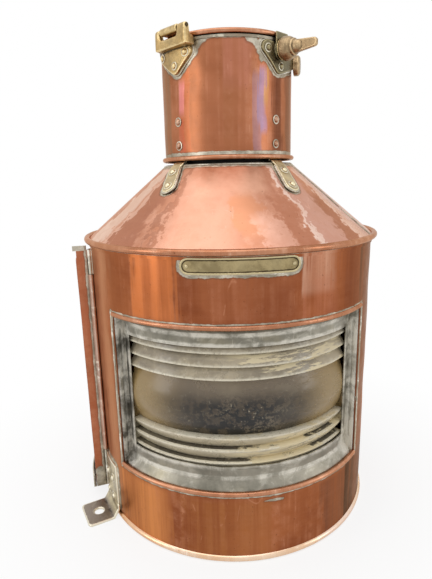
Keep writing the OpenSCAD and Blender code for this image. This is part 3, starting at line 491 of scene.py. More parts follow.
# ---- geometry trees ----
def rolled_bead_tree():
    """Lays a rolled bead, or a run of solder, of uneven thickness along a line."""
    tree = bpy.data.node_groups.new("rolled bead", "GeometryNodeTree")
    given, out = interface(tree, [("Line", "Geometry"), ("Radius", "Float"), ("Unevenness", "Float"),
                                  ("Grain", "Float"), ("Sides", "Int"), ("Finish", "Material")],
                           [("Bead", "Geometry")])
    curve = put(tree, "GeometryNodeMeshToCurve", {0: given["Line"]})
    lumps = put(tree, "ShaderNodeTexNoise", {"Scale": given["Grain"], "Detail": 2.0})
    radius = given["Radius"] * ((lumps - 0.5) * given["Unevenness"] + 1.0)
    curve = put(tree, "GeometryNodeSetCurveRadius", {"Curve": curve, "Radius": radius})
    section = put(tree, "GeometryNodeCurvePrimitiveCircle", {"Resolution": given["Sides"], "Radius": 1.0})
    tube = put(tree, "GeometryNodeCurveToMesh",
               {"Curve": curve, "Profile Curve": section, "Scale": radius, "Fill Caps": True})
    real = put(tree, "GeometryNodeRealizeInstances", {0: put(tree, "GeometryNodeSetShadeSmooth", {0: tube})})
    return give(tree, out, Bead=put(tree, "GeometryNodeSetMaterial", {0: real, "Material": given["Finish"]}))


def riveting_tree():
    """Sets a rivet head on every point, turned to face the way the point's mark says."""
    tree = bpy.data.node_groups.new("riveting", "GeometryNodeTree")
    given, out = interface(tree, [("Points", "Geometry"), ("Head", "Object"), ("Spread", "Float"),
                                  ("Lumps", "Float"), ("Seed", "Int"), ("Finish", "Material")],
                           [("Rivets", "Geometry")])
    head = put(tree, "GeometryNodeObjectInfo", {"Object": given["Head"]}, take="Geometry")
    facing = put(tree, "GeometryNodeInputNamedAttribute", {"Name": "facing"}, data_type="FLOAT_VECTOR")
    turn = put(tree, "FunctionNodeAlignRotationToVector", {"Vector": facing}, axis="Z")
    spread = given["Spread"]
    size = put(tree, "FunctionNodeRandomValue", {"Seed": given["Seed"], 2: 1.0 - spread, 3: 1.0 + spread}, 1,
               data_type="FLOAT")
    heads = put(tree, "GeometryNodeInstanceOnPoints",
                {"Points": given["Points"], "Instance": head, "Rotation": turn, "Scale": size})
    real = put(tree, "GeometryNodeRealizeInstances", {0: heads})
    lumps = put(tree, "ShaderNodeTexNoise", {"Scale": 420.0, "Detail": 1.0}, take=1)
    push = put(tree, "ShaderNodeVectorMath", {0: lumps, 1: (0.5, 0.5, 0.5)}, operation="SUBTRACT")
    shift = put(tree, "ShaderNodeVectorMath", {0: push, "Scale": given["Lumps"]}, operation="SCALE")
    moved = put(tree, "GeometryNodeSetPosition", {"Geometry": real, "Offset": shift})
    soft = put(tree, "GeometryNodeSetShadeSmooth", {0: moved})
    return give(tree, out, Rivets=put(tree, "GeometryNodeSetMaterial",
                                      {0: soft, "Material": given["Finish"]}))


BEADING, RIVETING = rolled_bead_tree(), riveting_tree()


def run_tree(ob, tree, **values):
    nodes = ob.modifiers.new(tree.name, "NODES")
    nodes.node_group = tree
    for name, value in values.items():
        nodes[setting(tree, name)] = value
    return bake(ob)


def bead(name, points, radius, finish, closed=False, uneven=0.1, grain=40.0, sides=12):
    mesh = bpy.data.meshes.new(name)
    n = len(points)
    edges = [(i, i + 1) for i in range(n - 1)] + ([(n - 1, 0)] if closed else [])
    mesh.from_pydata(points, edges, [])
    return run_tree(place(name, mesh), BEADING, Radius=radius * MM, Unevenness=uneven, Grain=grain,
                    Sides=sides, Finish=finish)


def rivets(name, body, node, slot, finish, places, head, seed):
    mesh = bpy.data.meshes.new(name)
    mesh.from_pydata([p for p, _ in places], [], [])
    mark = mesh.attributes.new("facing", "FLOAT_VECTOR", "POINT")
    for i, (_, way) in enumerate(places):
        mark.data[i].vector = way
    ob = run_tree(place(name, mesh), RIVETING, Head=head, Spread=0.05, Lumps=0.0004, Seed=seed, Finish=finish)
    return fit_to(ob, body, None, slot, node)


# ---- shader groups ----
def shader_group(name, *outs):
    """A shader group that takes a place and gives the named levels."""
    tree = bpy.data.node_groups.new(name, "ShaderNodeTree")
    given, out = interface(tree, [("Place", "Vector")], [(n, "Float") for n in outs])
    return tree, given["Place"], out


def sheet_marks_group():
    """Clouds of tarnish, fine mottling, vertical runs, polishing rub and scratches on sheet metal."""
    tree, here, out = shader_group("sheet marks", "Cloud", "Mottle", "Runs", "Rub", "Scratch", "Height")

    def grain(scale, stretch=(1, 1, 1), detail=3.0, rough=0.55, turn=(0, 0, 0)):
        return speckle(stretched(here, stretch, turn), scale, detail, rough)

    cloud = grain(13.0, detail=4.0, rough=0.62)
    mottle = grain(85.0, detail=6.0, rough=0.68)
    runs = grain(34.0, (1, 1, 0.05), 4.0, 0.6) * 0.5 + grain(125.0, (1, 1, 0.03), 4.0, 0.65) * 0.5
    rub = grain(30.0, (0.35, 0.35, 9.0), 4.0, 0.7)
    lines = []
    for turn, scale in (((0.5, 0.2, 0.0), 30.0), ((-0.7, 0.3, 0.4), 24.0)):
        line = grain(scale, (1, 1, 0.12), 1.0, 0.4, turn)
        lines.append(1.0 - ramp(abs(line - 0.56), 0.0, 0.0035))
    scratch = maths("MAXIMUM", *lines) * ramp(mottle, 0.5, 0.62)
    height = cloud * 0.9 + mottle * 0.16 - scratch * 0.05
    return give(tree, out, Cloud=ramp(cloud, 0.33, 0.67), Mottle=ramp(mottle, 0.36, 0.66),
                Runs=ramp(runs, 0.42, 0.6), Rub=ramp(rub, 0.38, 0.64), Scratch=scratch, Height=height)


def solder_smear_group():
    """Ragged tin left round a soldered line, from the mark on the sheet, and its thickness."""
    tree, here, out = shader_group("solder smear", "Tin", "Halo", "Height")
    mark = put(tree, "ShaderNodeAttribute", take="Fac", attribute_name="solder")
    broad = speckle(here, 95.0, 4.0, 0.65)
    fine = speckle(stretched(here, (1, 1, 0.35)), 380.0, 3.0)
    level = mark - (broad * 0.6 + fine * 0.2 + 0.12)
    tin = ramp(level, -0.03, 0.06)
    halo = ramp(level, -0.3, 0.02) * ramp(mark, 0.0, 0.25)
    return give(tree, out, Tin=tin, Halo=halo, Height=tin * (0.6 + broad * 0.8))


def worn_edge_group():
    """Bright rubbed corners and dirt in the hollows of a casting, from its wear mark."""
    tree, here, out = shader_group("worn edges", "Rubbed", "Dirt", "Pits")
    mark = put(tree, "ShaderNodeAttribute", take="Fac", attribute_name="wear")
    shifted = mark + (speckle(here, 260.0, 4.0) - 0.5) * 0.45
    pits = ramp(speckle(here, 700.0, 3.0), 0.3, 0.55)
    return give(tree, out, Rubbed=ramp(shifted, 0.55, 0.78), Dirt=1.0 - ramp(shifted, 0.2, 0.46), Pits=pits)


def lamp_bearing_group():
    """The bearing in degrees and the height in metres of a point round the lamp's axis."""
    tree, here, out = shader_group("round the lamp", "Bearing", "Height")
    axis = outputs(add(tree, "ShaderNodeSeparateXYZ", {0: here}))
    turn = maths("ARCTAN2", axis["X"], axis["Y"] * -1.0)
    return give(tree, out, Bearing=turn * math.degrees(1), Height=axis["Z"])


MARKS, SMEAR = sheet_marks_group(), solder_smear_group()
EDGES, ROUND = worn_edge_group(), lamp_bearing_group()


def use(group, place_at):
    tree = place_at.socket.id_data
    return outputs(add(tree, "ShaderNodeGroup", {"Place": place_at}, node_tree=group))


def finish(name, **fixed):
    """A new material with its Principled shader's fixed values set, and its Object coordinates."""
    material = bpy.data.materials.new(name)
    material.use_nodes = True
    shader = material.node_tree.nodes["Principled BSDF"]
    for key, value in fixed.items():
        shader.inputs[key.replace("_", " ")].default_value = value
    return material, shader, put(material.node_tree, "ShaderNodeTexCoord", take="Object")


def dress(shader, colour, height, depth, strength, level=None, low=0.0, high=1.0):
    """Feeds the shader: its colour, a bump, and roughness from low to high as the level goes from 0 to 1."""
    tree = shader.id_data
    feed(colour, shader.inputs["Base Color"])
    feed(put(tree, "ShaderNodeBump", {"Height": height, "Distance": depth * MM, "Strength": strength}),
         shader.inputs["Normal"])
    if level:
        feed(put(tree, "ShaderNodeMapRange", {0: level, 3: low, 4: high}), shader.inputs["Roughness"])


def band(value, middle, half, soft):
    """1 within half of the middle, easing to 0 over soft beyond it."""
    return 1.0 - ramp(abs(value - middle), half, half + soft)


def copper_finish(name, deep, mid, pale, tin="#cbc3b2", rough=(0.28, 0.46), grime=0.5, tarnish_and_light=(), streaky=0.6):
    """Aged copper sheet: clouds of tarnish, soft upright runs that are partly painted reflections, scratches,
    smeared tin at the joints.

    tarnish_and_light holds (colour, bearing, half width, low, high, strength) for each patch, of tarnish and
    of painted light (painted highlights, reflections and shade), and streaky says how far the upright runs
    break the patches up."""
    material, shader, here = finish(name, Metallic=1.0, Specular_Tint=tone("#f0dccb"))
    marks, smear, turn = use(MARKS, here), use(SMEAR, here), use(ROUND, here)
    # The upright runs darken and pale the copper in streaks, partly as painted reflections.
    colour = layered(blend(marks["Cloud"], deep, mid), ((1.0 - marks["Runs"]) * 0.28, deep),
                     (marks["Runs"] * (marks["Mottle"] * 0.36), pale))
    frayed = turn["Bearing"] + ((marks["Cloud"] - 0.5) * 3.5 + (marks["Runs"] - 0.5) * 5.0)
    broken = 1.0 - streaky + marks["Runs"] * streaky
    # Lays each patch, tarnish and painted light alike, by bearing and height.
    for tint, bearing, half, low, high, strength in tarnish_and_light:
        wide = band(frayed, bearing, half * 0.75, half * 0.5)
        tall = band(turn["Height"], (low + high) / 2 * MM, (high - low) / 2 * MM, 9 * MM)
        colour = blend(wide * tall * (broken * strength), colour, tint)
    colour = layered(colour, (marks["Rub"] * 0.03, pale),
                     (ramp(speckle(here, 520.0, 3.0), 0.68, 0.76) * grime, "#3a2418"),
                     (marks["Scratch"] * 0.45, pale), (smear["Halo"] * 0.55, "#6f4c39"),
                     (smear["Tin"], blend(marks["Mottle"], "#8f8777", tin)))
    level = maths("MAXIMUM", marks["Mottle"] * 0.5 + marks["Cloud"] * 0.5, smear["Tin"] * 1.1)
    dress(shader, colour, marks["Height"] + smear["Height"] * 0.5, 0.7, 0.55, level, *rough)
    return material


def tinned_finish(name, dark, mid, light, stain, rough=(0.35, 0.6), blotches=1.0, crust="#d9d3c4",
                  shade=None):
    """Tin and solder wiped over copper: mottled greys, cream patches, crust at the joints.

    shade holds (colour, bearing, half width, strength) for a side that the light misses."""
    material, shader, here = finish(name, Metallic=1.0)
    marks, smear = use(MARKS, here), use(SMEAR, here)
    blotch, worn = speckle(here, 60.0, 6.0, 0.7, 0.6), speckle(here, 33.0, 5.0)
    colour = layered(blend(marks["Cloud"] * 0.7 + marks["Mottle"] * 0.3, dark, mid),
                     (ramp(blotch, 0.5, 0.64) * blotches, light), (ramp(worn, 0.5, 0.68) * 0.5, stain),
                     (marks["Scratch"] * 0.5, light))
    if shade:
        tint, bearing, half, strength = shade
        mask = band(use(ROUND, here)["Bearing"], bearing, half, half * 0.6) * ramp(blotch, 0.3, 0.48)
        colour = blend(mask * strength, colour, tint)
    chalk = (smear["Halo"] * 0.55 + smear["Tin"] * 0.3) * ramp(blotch + worn * 0.6, 0.6, 0.95)
    feed(1.0 - chalk * 0.8, shader.inputs["Metallic"])
    height = marks["Height"] + blotch * 0.3 + smear["Height"] * 0.4
    level = maths("MAXIMUM", marks["Mottle"], chalk)
    dress(shader, blend(chalk, colour, crust), height, 0.6, 0.6, level, *rough)
    return material


def brass_finish(name, dark, mid, bright, rough=(0.3, 0.5), rubbed=0.8, below=None, ring="#d8d0bb"):
    """Cast brass: tarnish, dirt in the hollows, corners rubbed bright, a pitted skin, tinned burrs.

    below holds a colour and the height in metres that it comes up to."""
    material, shader, here = finish(name, Metallic=1.0)
    marks, edges, smear = use(MARKS, here), use(EDGES, here), use(SMEAR, here)
    colour = layered(blend(marks["Mottle"], dark, mid), (marks["Cloud"] * 0.35, bright))
    if below:
        tint, top = below
        mask = 1.0 - ramp(use(ROUND, here)["Height"], top - 3 * MM, top + 3 * MM)
        colour = blend(mask * 0.8, colour, tint)
    colour = layered(colour, (edges["Dirt"] * 0.85, "#2b2218"), (edges["Rubbed"] * rubbed, bright),
                     (marks["Scratch"] * 0.5, bright), (smear["Tin"], ring))
    level = marks["Mottle"] * (1.0 - edges["Rubbed"])
    dress(shader, colour, edges["Pits"] * 0.3 + marks["Height"] * 0.6, 0.4, 0.65, level, *rough)
    return material


def dull_finish(name, dark, light, rough, metal=0.0, scale=90.0, depth=0.3):
    """A plain dull surface with uneven colour, such as soot, leather or old steel."""
    material, shader, here = finish(name, Metallic=metal)
    grain = speckle(here, scale, 5.0, 0.65)
    colour = layered(blend(ramp(grain, 0.35, 0.65), dark, light), (use(MARKS, here)["Scratch"] * 0.3, light))
    dress(shader, colour, grain, depth, 0.5, grain, rough - 0.08, rough + 0.1)
    return material


def woven_finish(name, dark, light):
    """Flat woven cotton: warp and weft by waves across each other, and loose fibre."""
    material, shader, here = finish(name, Roughness=0.95)
    fibre = speckle(here, 1500.0, 2.0)
    threads = [put(shader.id_data, "ShaderNodeTexWave", {"Vector": here, "Scale": 260.0, "Distortion": 0.4},
                   take="Fac", bands_direction=way) for way in ("X", "Z")]
    both = maths("MAXIMUM", *threads) * 0.7 + fibre * 0.3
    dress(shader, blend(both, dark, light), both, 0.2, 0.6)
    return material


def surface(tree, mask, first, second, output="Material Output"):
    """The surface is the first shader where the mask is 0 and the second where it is 1."""
    mixed = put(tree, "ShaderNodeMixShader", {0: mask, 1: first, 2: second})
    feed(mixed, tree.nodes[output].inputs["Surface"])


def see_through(shader):
    """Lets light through the glass to what stands behind it."""
    tree = shader.id_data
    shadow = put(tree, "ShaderNodeLightPath", take="Is Shadow Ray")
    through = put(tree, "ShaderNodeBsdfTransparent", {0: (0.75, 0.74, 0.68, 1)})
    surface(tree, shadow, shader.outputs[0], through)


def clear_glass_finish(name, clear, rough):
    """Old clear glass with a grimy film."""
    material, shader, here = finish(name, Transmission_Weight=1.0, IOR=1.5)
    film = speckle(here, 24.0, 6.0, 0.7)
    dress(shader, blend(ramp(film, 0.4, 0.62), *clear), film, 0.5, 0.35, film, rough, rough + 0.2)
    see_through(shader)
    return material


def lens_finish(name):
    """The drum lens: beige grime on its prisms with painted shadow and highlight on their steps, chalky crust
    on their edges that is partly a painted reflection, and a sooty belt painted dark in its middle for the
    dark inside.
    """
    material, shader, here = finish(name, IOR=1.5)
    turn, edges = use(ROUND, here), use(EDGES, here)
    film = speckle(here, 26.0, 6.0, 0.66)
    flakes = speckle(stretched(here, (1, 1, 6.5)), 30.0, 7.0, 0.68)
    fine = speckle(here, 300.0, 5.0, 0.7)
    blot = speckle(here, 105.0, 7.0, 0.78)
    off = abs(turn["Height"] - LENS_MID * MM)
    side = abs(turn["Bearing"] + 2.0)
    half = BELT_H / 2 * MM
    belt = 1.0 - ramp(off, half - 0.001, half + 0.0005)
    above = ramp(turn["Height"], LENS_MID * MM, LENS_MID * MM + half)
    # prisms: painted shadow lines and painted highlight bands on the steps, the lower prisms painted lighter
    rise = maths("FRACT", (off - half) / (PRISM_H * MM))
    # The cream crust on the right of the upper prisms is partly a painted reflection of the outside.
    reach = maths("ADD", ramp(turn["Bearing"], -14.0, 4.0), 0.12, clamp=True)
    reach *= 1.0 - ramp(turn["Height"], (LENS_MID + 44) * MM, (LENS_MID + 50) * MM)
    crust = ramp(flakes, 0.49, 0.55) * reach
    # Painted light on the prisms: the lower prisms lighter, the corners between prisms darker and their edges
    # paler, partly grime; a dark line where each prism ends is a painted shadow and a light band where it
    # starts a painted highlight.
    bands = layered(blend(ramp(film, 0.34, 0.66), "#918673", "#c0b297"), ((1.0 - above) * 0.5, "#c9bfa4"),
                    (edges["Dirt"] * 0.85, "#3b352c"), (edges["Rubbed"] * 0.5, "#e6dec8"),
                    (ramp(rise, 0.78, 0.97) * 0.85, "#37312a"),
                    ((1.0 - ramp(rise, 0.1, 0.22)) * ramp(fine, 0.3, 0.5), "#ebe3cd"), (crust, "#d9cba8"))
    # belt: painted shade in its middle where the dark inside shows through, with soot blotches; darker below
    # the middle, lighter above, tan towards its ends
    dark = 1.0 - ramp(side, 8.0, 36.0)
    dark *= 1.0 - ramp(turn["Height"], (LENS_MID + 2) * MM, (LENS_MID + 17) * MM)
    soot, specks = ramp(blot, 0.46, 0.51) * dark, ramp(fine, 0.63, 0.7) * (0.25 + dark * 0.55)
    glass = layered(blend(above, "#493d2d", "#847561"), (ramp(film, 0.45, 0.7) * 0.45, "#a0927a"),
                    (ramp(side, 18.0, 44.0), "#a88f62"), (soot, "#0f0d0b"), (specks, "#d6cbaf"))
    clear = (1.0 - maths("MAXIMUM", soot, specks)) * 0.25 * belt
    veiled = (1.0 - crust) * 0.18 * (1.0 - belt)
    feed(maths("MAXIMUM", clear, veiled), shader.inputs["Transmission Weight"])
    dull = maths("MAXIMUM", ramp(film, 0.35, 0.7), maths("MAXIMUM", crust, soot))
    dress(shader, blend(belt, bands, glass), film + crust * 0.2, 0.5, 0.4, dull, 0.14, 0.42)
    see_through(shader)
    return material


# The wall's patches are mostly painted light: orange and pale bands where the left light falls, a browner
# middle, pale pink sheen right of centre, and dark to near-black painted shade down the right side.
WALL = copper_finish("wall copper", "#87492c", "#a8653f", "#c98c6b", tarnish_and_light=[
    ("#cc7744", -31, 8, 216, 262, 0.85), ("#cb9470", -64, 9, 0, 262, 0.8),
    ("#7c4027", -19, 3, 224, 252, 0.6), ("#93593f", 8, 7, 218, 262, 0.5),
    ("#a9684a", -8, 9, 218, 262, 0.5), ("#be9178", 25, 7, 236, 262, 0.85),
    ("#a8674d", 27, 6, 212, 240, 0.5), ("#763c26", 42, 6, 214, 262, 0.85),
    ("#da8f54", -42, 12, 4, 56, 0.85), ("#a5683c", -6, 16, 6, 54, 0.7), ("#6e4231", 40, 8, 6, 56, 0.75),
    ("#2a1b14", 60, 14, 6, 60, 0.95), ("#553527", 56, 7, 4, 262, 0.8)])
# Painted light: the roof's copper is given paler colours than the wall for the light it catches from above,
# and its patches are painted highlights and reflections, darker bands between them and thin painted highlight
# streaks.
ROOF_PAINTED_LIGHT = copper_finish("roof copper", "#bd8064", "#d39a80", "#e9bca6", rough=(0.26, 0.42), streaky=0.25, tarnish_and_light=[
    ("#a9705a", -47, 7, 262, 336, 0.85), ("#f3ddd0", -64, 6, 262, 336, 0.85),
    ("#d39d85", -19, 15, 262, 316, 0.9),
    ("#cd8d6a", 4, 6, 282, 303, 0.85), ("#e2b19d", 11, 5, 264, 286, 0.6), ("#b27459", 20, 4, 266, 326, 0.75),
    ("#cfa293", 36, 8, 270, 328, 0.8), ("#a0644a", 47, 4, 262, 300, 0.7), ("#e2cdc8", 64, 9, 262, 330, 0.85),
    ("#dba88e", 0, 20, 312, 334, 0.7),
    ("#f2d8ca", 27.5, 1.6, 264, 330, 0.8), ("#f2d8ca", 53, 1.8, 262, 322, 0.7),
    ("#f0cdbb", -55, 1.6, 262, 330, 0.7),
    ("#8f5840", -34, 1.5, 268, 330, 0.5)])
# The chimney's patches are mostly painted light: painted shade on the far left and down the right, orange and
# pink painted highlights left of centre, and lilac, mauve and gold streaks right of centre that are painted
# reflections.
CHIMNEY = copper_finish("chimney copper", "#94583a", "#b57453", "#d39a7d", rough=(0.24, 0.42), tarnish_and_light=[
    ("#846a54", -70, 9, 330, 436, 0.85), ("#b8643c", -38, 5, 340, 415, 0.5),
    ("#e08a86", -43, 4, 379, 395, 0.8), ("#9c6241", -27, 6, 345, 425, 0.75),
    ("#bd7a66", 4, 12, 396, 430, 0.6), ("#99603e", -2, 6, 345, 396, 0.5),
    ("#85799c", 27, 2.6, 362, 404, 0.75), ("#957a89", 22.5, 4, 340, 400, 0.5),
    ("#b98f52", 30.5, 1.8, 384, 410, 0.6), ("#c8624a", -44, 4, 344, 366, 0.5),
    ("#643828", 42, 6, 340, 412, 0.9),
    ("#6f4836", 62, 8, 336, 436, 0.8)])
# A lighter upright band near the door's front edge.
DOOR = copper_finish("door copper", "#8f4d30", "#b0694a", "#cc9170",
                     tarnish_and_light=[("#b9714a", -86, 8, 14, 263, 0.5)])
ROLLED = copper_finish("rolled edge copper", "#a66d4f", "#c48c6c", "#e8bda0", tin="#d6cebd",
                       rough=(0.22, 0.38), grime=0.8)
# Painted highlight: the base roll is given pale cream colours for the light it catches, warmer orange on the
# left and pale pink on the right.
BASE_EDGE_SHEEN = copper_finish("base edge copper", "#e0b996", "#efd6bb", "#fbf0e4", rough=(0.2, 0.36),
                          grime=0.6, tarnish_and_light=[
    ("#dc9a62", -46, 14, 0, 8, 0.6), ("#e9cfc6", 46, 16, 0, 8, 0.6)])
LID_COPPER = copper_finish("lid copper", "#8a4f34", "#ab6a48", "#cb9272")
HEADS = copper_finish("copper rivet heads", "#8f5b40", "#c09a80", "#e6cbb6", tin="#e6dfcd", rough=(0.2, 0.36))
TIN = tinned_finish("wiped tin", "#7b7466", "#a39a89", "#cfc8b6", "#97745a")
FRAME_TIN = tinned_finish("lens frame tin", "#6a675c", "#a8a294", "#c9c4b6", "#8f866f", rough=(0.3, 0.5),
                          blotches=0.4, crust="#dcd7ca", shade=("#28251f", -53.5, 4.5, 0.92))
SOLDER = tinned_finish("solder", "#a39c8b", "#cbc4b3", "#efeadd", "#b3a288", rough=(0.35, 0.55))
BARREL = tinned_finish("wiped hinge barrel", "#a58574", "#cfb09e", "#efe4d6", "#bd8c72", rough=(0.32, 0.5))
FONT_TIN = tinned_finish("font tinplate", "#5d5b57", "#8b8983", "#a9a69e", "#6e5f4c")
CASTING = brass_finish("hinge brass", "#7d6238", "#b8955c", "#e9d09c")
CATCH = brass_finish("catch brass", "#3b362b", "#686049", "#a79b76", rubbed=0.7)
NUT = brass_finish("thumb nut brass", "#5c4a36", "#92795a", "#d3b78e", rubbed=0.6)
STRAP = brass_finish("strap brass", "#93794f", "#c0a87a", "#eee2c0")
PLATE = brass_finish("plate brass", "#7a6a48", "#a5936a", "#cfc19a", rubbed=0.7)
BURNER_BRASS = brass_finish("burner brass", "#6b5428", "#94763b", "#c4a55e")
FOOT = brass_finish("foot plate metal", "#a39678", "#cabd9c", "#efe7d2", rough=(0.34, 0.55),
                    below=("#857872", 0.005))
STEEL = dull_finish("old steel", "#5b5650", "#85807a", 0.42, metal=1.0, scale=300.0)
SOOT = dull_finish("soot", "#15120f", "#2a2420", 0.85)
LEATHER = dull_finish("leather seal", "#3a2216", "#5a3a26", 0.7, scale=500.0)
COTTON = woven_finish("cotton wick", "#9d917a", "#d8cfba")
LENS = lens_finish("lens glass")
CHIMNEY_GLASS = clear_glass_finish("lamp chimney glass", ("#dfe5e0", "#c9c6b8"), 0.04)


# ---- where the solder ran ----
def round_line(bearing, r, corners, radius, pitch=1.6):
    """A closed line round corner centres (along, z), radius out from them, on a cylinder."""
    line = []
    n = len(corners)
    for i in range(n):
        a, b, c = Vector(corners[i - 1]), Vector(corners[i]), Vector(corners[(i + 1) % n])
        start = math.atan2(*((b - a).yx)) - math.pi / 2
        end = math.atan2(*((c - b).yx)) - math.pi / 2
        while end < start:
            end += 2 * math.pi
        for k in range(7):
            t = start + (end - start) * k / 6
            line.append((b.x + radius * math.cos(t), b.y + radius * math.sin(t)))
    line = along_line(line + [line[0]], pitch)[:-1]
    return [spot(bearing + bearing_off(s, r), r, z) for s, z in line]


def level_ring(r, z, pitch=1.6, start=0, end=360):
    n = max(3, round(math.radians(end - start) * r / pitch))
    whole = end - start >= 360
    return [spot(start + (end - start) * i / n, r, z) for i in range(n if whole else n + 1)]


plate_line = round_line(PLATE_BEARING, WALL_R, [(-PLATE_HALF, PLATE_Z), (PLATE_HALF, PLATE_Z)], PLATE_R + 0.4)
hinge_corners = [(0, 411.6), (12.5, 422.8), (-17.5, 422.8)]
catch_corners = [(-1.1, 410.4), (22.9, 417.2), (-14.6, 424.4)]
cast_out, foot_out, strap_out = 5.9, 5.4, STRAP_W / 2 + 0.4
hinge_line = round_line(HINGE_BEARING, CHIMNEY_R, hinge_corners, cast_out)
catch_line = round_line(CATCH_BEARING, CHIMNEY_R, catch_corners, cast_out)
foot_corners = [(-10, 13), (10, 13), (10, 50), (-10, 50)]
foot_lines = [round_line(b, WALL_R, foot_corners, foot_out) for b in FOOT_BEARINGS]
strap_end = STRAP_L - STRAP_TURN - STRAP_W / 2
strap_tip = [(strap_end + strap_out * math.cos(t), strap_out * math.sin(t))
             for t in steps(-math.pi / 2, math.pi / 2, 0.3)]
strap_edge = along_line([(2, -strap_out)] + strap_tip + [(2, strap_out)], 2.5)
strap_lines = [[on_strap(i, u, v, 0.2) for u, v in strap_edge] for i in range(4)]

# ---- body ----
wall_rows = spaced([1.0, BASE_BEAD_R * 2 + 1.2, 14.8, DOOR_OPENING_Z[0], OPENING_LOW, OPENING_HIGH,
                    DOOR_OPENING_Z[1], WALL_TOP], 2.6)
slot_pitch = (DOOR_OPENING[1] - DOOR_OPENING[0]) / 6
slot_edges = [DOOR_OPENING[0] + slot_pitch * (i + 0.5) + s for i in range(6) for s in (-3, 3)]
wall_bearings = spaced([DOOR_OPENING[0], DOOR_OPENING[1], -OPENING_ANGLE, OPENING_ANGLE,
                        DOOR_OPENING[0] + 360] + slot_edges, 1.15)[:-1]


def wall_hole(b, r, z):
    if abs(b) < OPENING_ANGLE and OPENING_LOW < z < OPENING_HIGH:
        return True
    if DOOR_OPENING[0] < b < DOOR_OPENING[1]:
        if DOOR_OPENING_Z[0] < z < DOOR_OPENING_Z[1]:
            return True
        return 7.2 < z < 14.8 and abs((b - DOOR_OPENING[0]) % slot_pitch - slot_pitch / 2) < 3
    return False


wall_dents = [((-20, 135.4, 34), 26, 0.5), ((28, 135.4, 38), 34, 0.45), ((-3, 135.4, 232), 40, 0.35),
              ((-58, 135.4, 160), 30, 0.5), ((62, 135.4, 120), 36, 0.6), ((70, 135.4, 220), 28, 0.4),
              ((120, 135.4, 150), 40, 0.6)]
wall = sheet("body_wall", [(WALL_R, z) for z in wall_rows], wall_bearings, True, 0.22, 60, wall_dents,
             wall_hole)
plate_ends = [spot(PLATE_BEARING, WALL_R, PLATE_Z + z, s) for s in (-47, 47) for z in (-4, 0, 3)]
drip = [spot(b, WALL_R, 58.3 - 0.1 * b) for b in steps(7, 13, 1)]
side_lines = [[spot(s * (OPENING_ANGLE + 1), WALL_R, z) for z in steps(62, 211, 1.6)] for s in (-1, 1)]
mark_solder(wall, [(plate_line, 5.0), (foot_lines[0], 5.5), (foot_lines[1], 5.5), (side_lines[0], 4.5),
                   (side_lines[1], 4.5), (level_ring(WALL_R, WALL_TOP + 1), 1.8),
                   (level_ring(WALL_R, OPENING_LOW - 2, 1.6, -52, 52), 3.0),
                   (level_ring(WALL_R, OPENING_HIGH + 2, 1.6, -52, 52), 3.0),
                   (level_ring(WALL_R, 5.8), 2.0), (drip, 3.2), (plate_ends, 6.0)])
fit_to(wall, "lamp", WALL, "copper", "body_shell")

base = bead("base_roll", level_ring(WALL_R + BASE_BEAD_OUT - BASE_BEAD_R, BASE_BEAD_R), BASE_BEAD_R,
            BASE_EDGE_SHEEN, closed=True, uneven=0.1, grain=60.0, sides=14)
fit_to(base, "lamp", None, "copper", "base_bead")

arcs = [bead("opening_arc",
             [spot(b, WALL_R - 0.6, z) for b in steps(-OPENING_ANGLE - 0.2, OPENING_ANGLE + 0.2, 1)],
             OPENING_BEAD, ROLLED, uneven=0.16, grain=50.0) for z in (OPENING_LOW, OPENING_HIGH)]
fit_to(joined("opening_rolls", arcs), "lamp", None, "bright_copper", "opening_beads")

# ---- frame round the lens, folded from tinned sheet ----
sill = rounded([(FRAME_R, FRAME_LOW), (FRAME_R, 62.8), (133, 66), (LIP_R, LIP_LOW),
                (LIP_R, LIP_LOW + LIP_W)], 3)
head = rounded([(LIP_R, LIP_HIGH - LIP_W), (LIP_R, LIP_HIGH), (133, 208), (FRAME_R, 211.2),
                (FRAME_R, FRAME_HIGH)], 3)
frame_bearings = steps(-OPENING_ANGLE, OPENING_ANGLE, 1.2)
frame_parts = [sheet(name, along_line(line, 2), frame_bearings, False, 0.35, 28)
               for name, line in (("sill", sill), ("head", head))]
for s in (-1, 1):
    jamb = [[spot(s * (OPENING_ANGLE - 0.3 + 0.25 * noise.noise(Vector((s, z * 0.03, 0)))), r, z)
             for r in steps(126, 134.6, 2)] for z in steps(64, 210, 4)]
    lip = [[spot(s * b, LIP_R - 0.5, z) for b in steps(OPENING_ANGLE - 3.8, OPENING_ANGLE - 0.2, 0.6)]
           for z in steps(LIP_LOW, LIP_HIGH, 4)]
    flange = [[spot(s * b, FRAME_R - 0.7, z) for b in steps(OPENING_ANGLE, OPENING_ANGLE + 7, 1)]
              for z in steps(FRAME_LOW + 0.2, FRAME_HIGH - 0.2, 6)]
    frame_parts += [patch("jamb", jamb, SHEET), patch("lip", lip, SHEET), patch("flange", flange, 1.1)]
surround = joined("lens_surround", frame_parts)
edge_arcs = [(level_ring(LIP_R, z, 1.6, -OPENING_ANGLE, OPENING_ANGLE), w) for z, w in
             ((LIP_LOW + LIP_W, 5.0), (LIP_HIGH - LIP_W, 5.0), (LIP_LOW, 3.4), (LIP_HIGH, 4.2))]
edge_posts = [([spot(s * (OPENING_ANGLE - b), r, z) for z in steps(LIP_LOW - 5, LIP_HIGH + 5, 1.6)], w)
              for s in (-1, 1) for b, r, w in ((0.4, 127.5, 5.0), (3.8, 127, 5.0), (0.4, 133.5, 3.6))]
corners = [([spot(s * (OPENING_ANGLE - 3), 130, z)], 17) for s in (-1, 1)
           for z in (LIP_LOW - 1, LIP_HIGH + 1)]
mark_solder(surround, edge_arcs + edge_posts + corners)
fit_to(surround, "lamp", FRAME_TIN, "tinned_copper", "lens_frame")

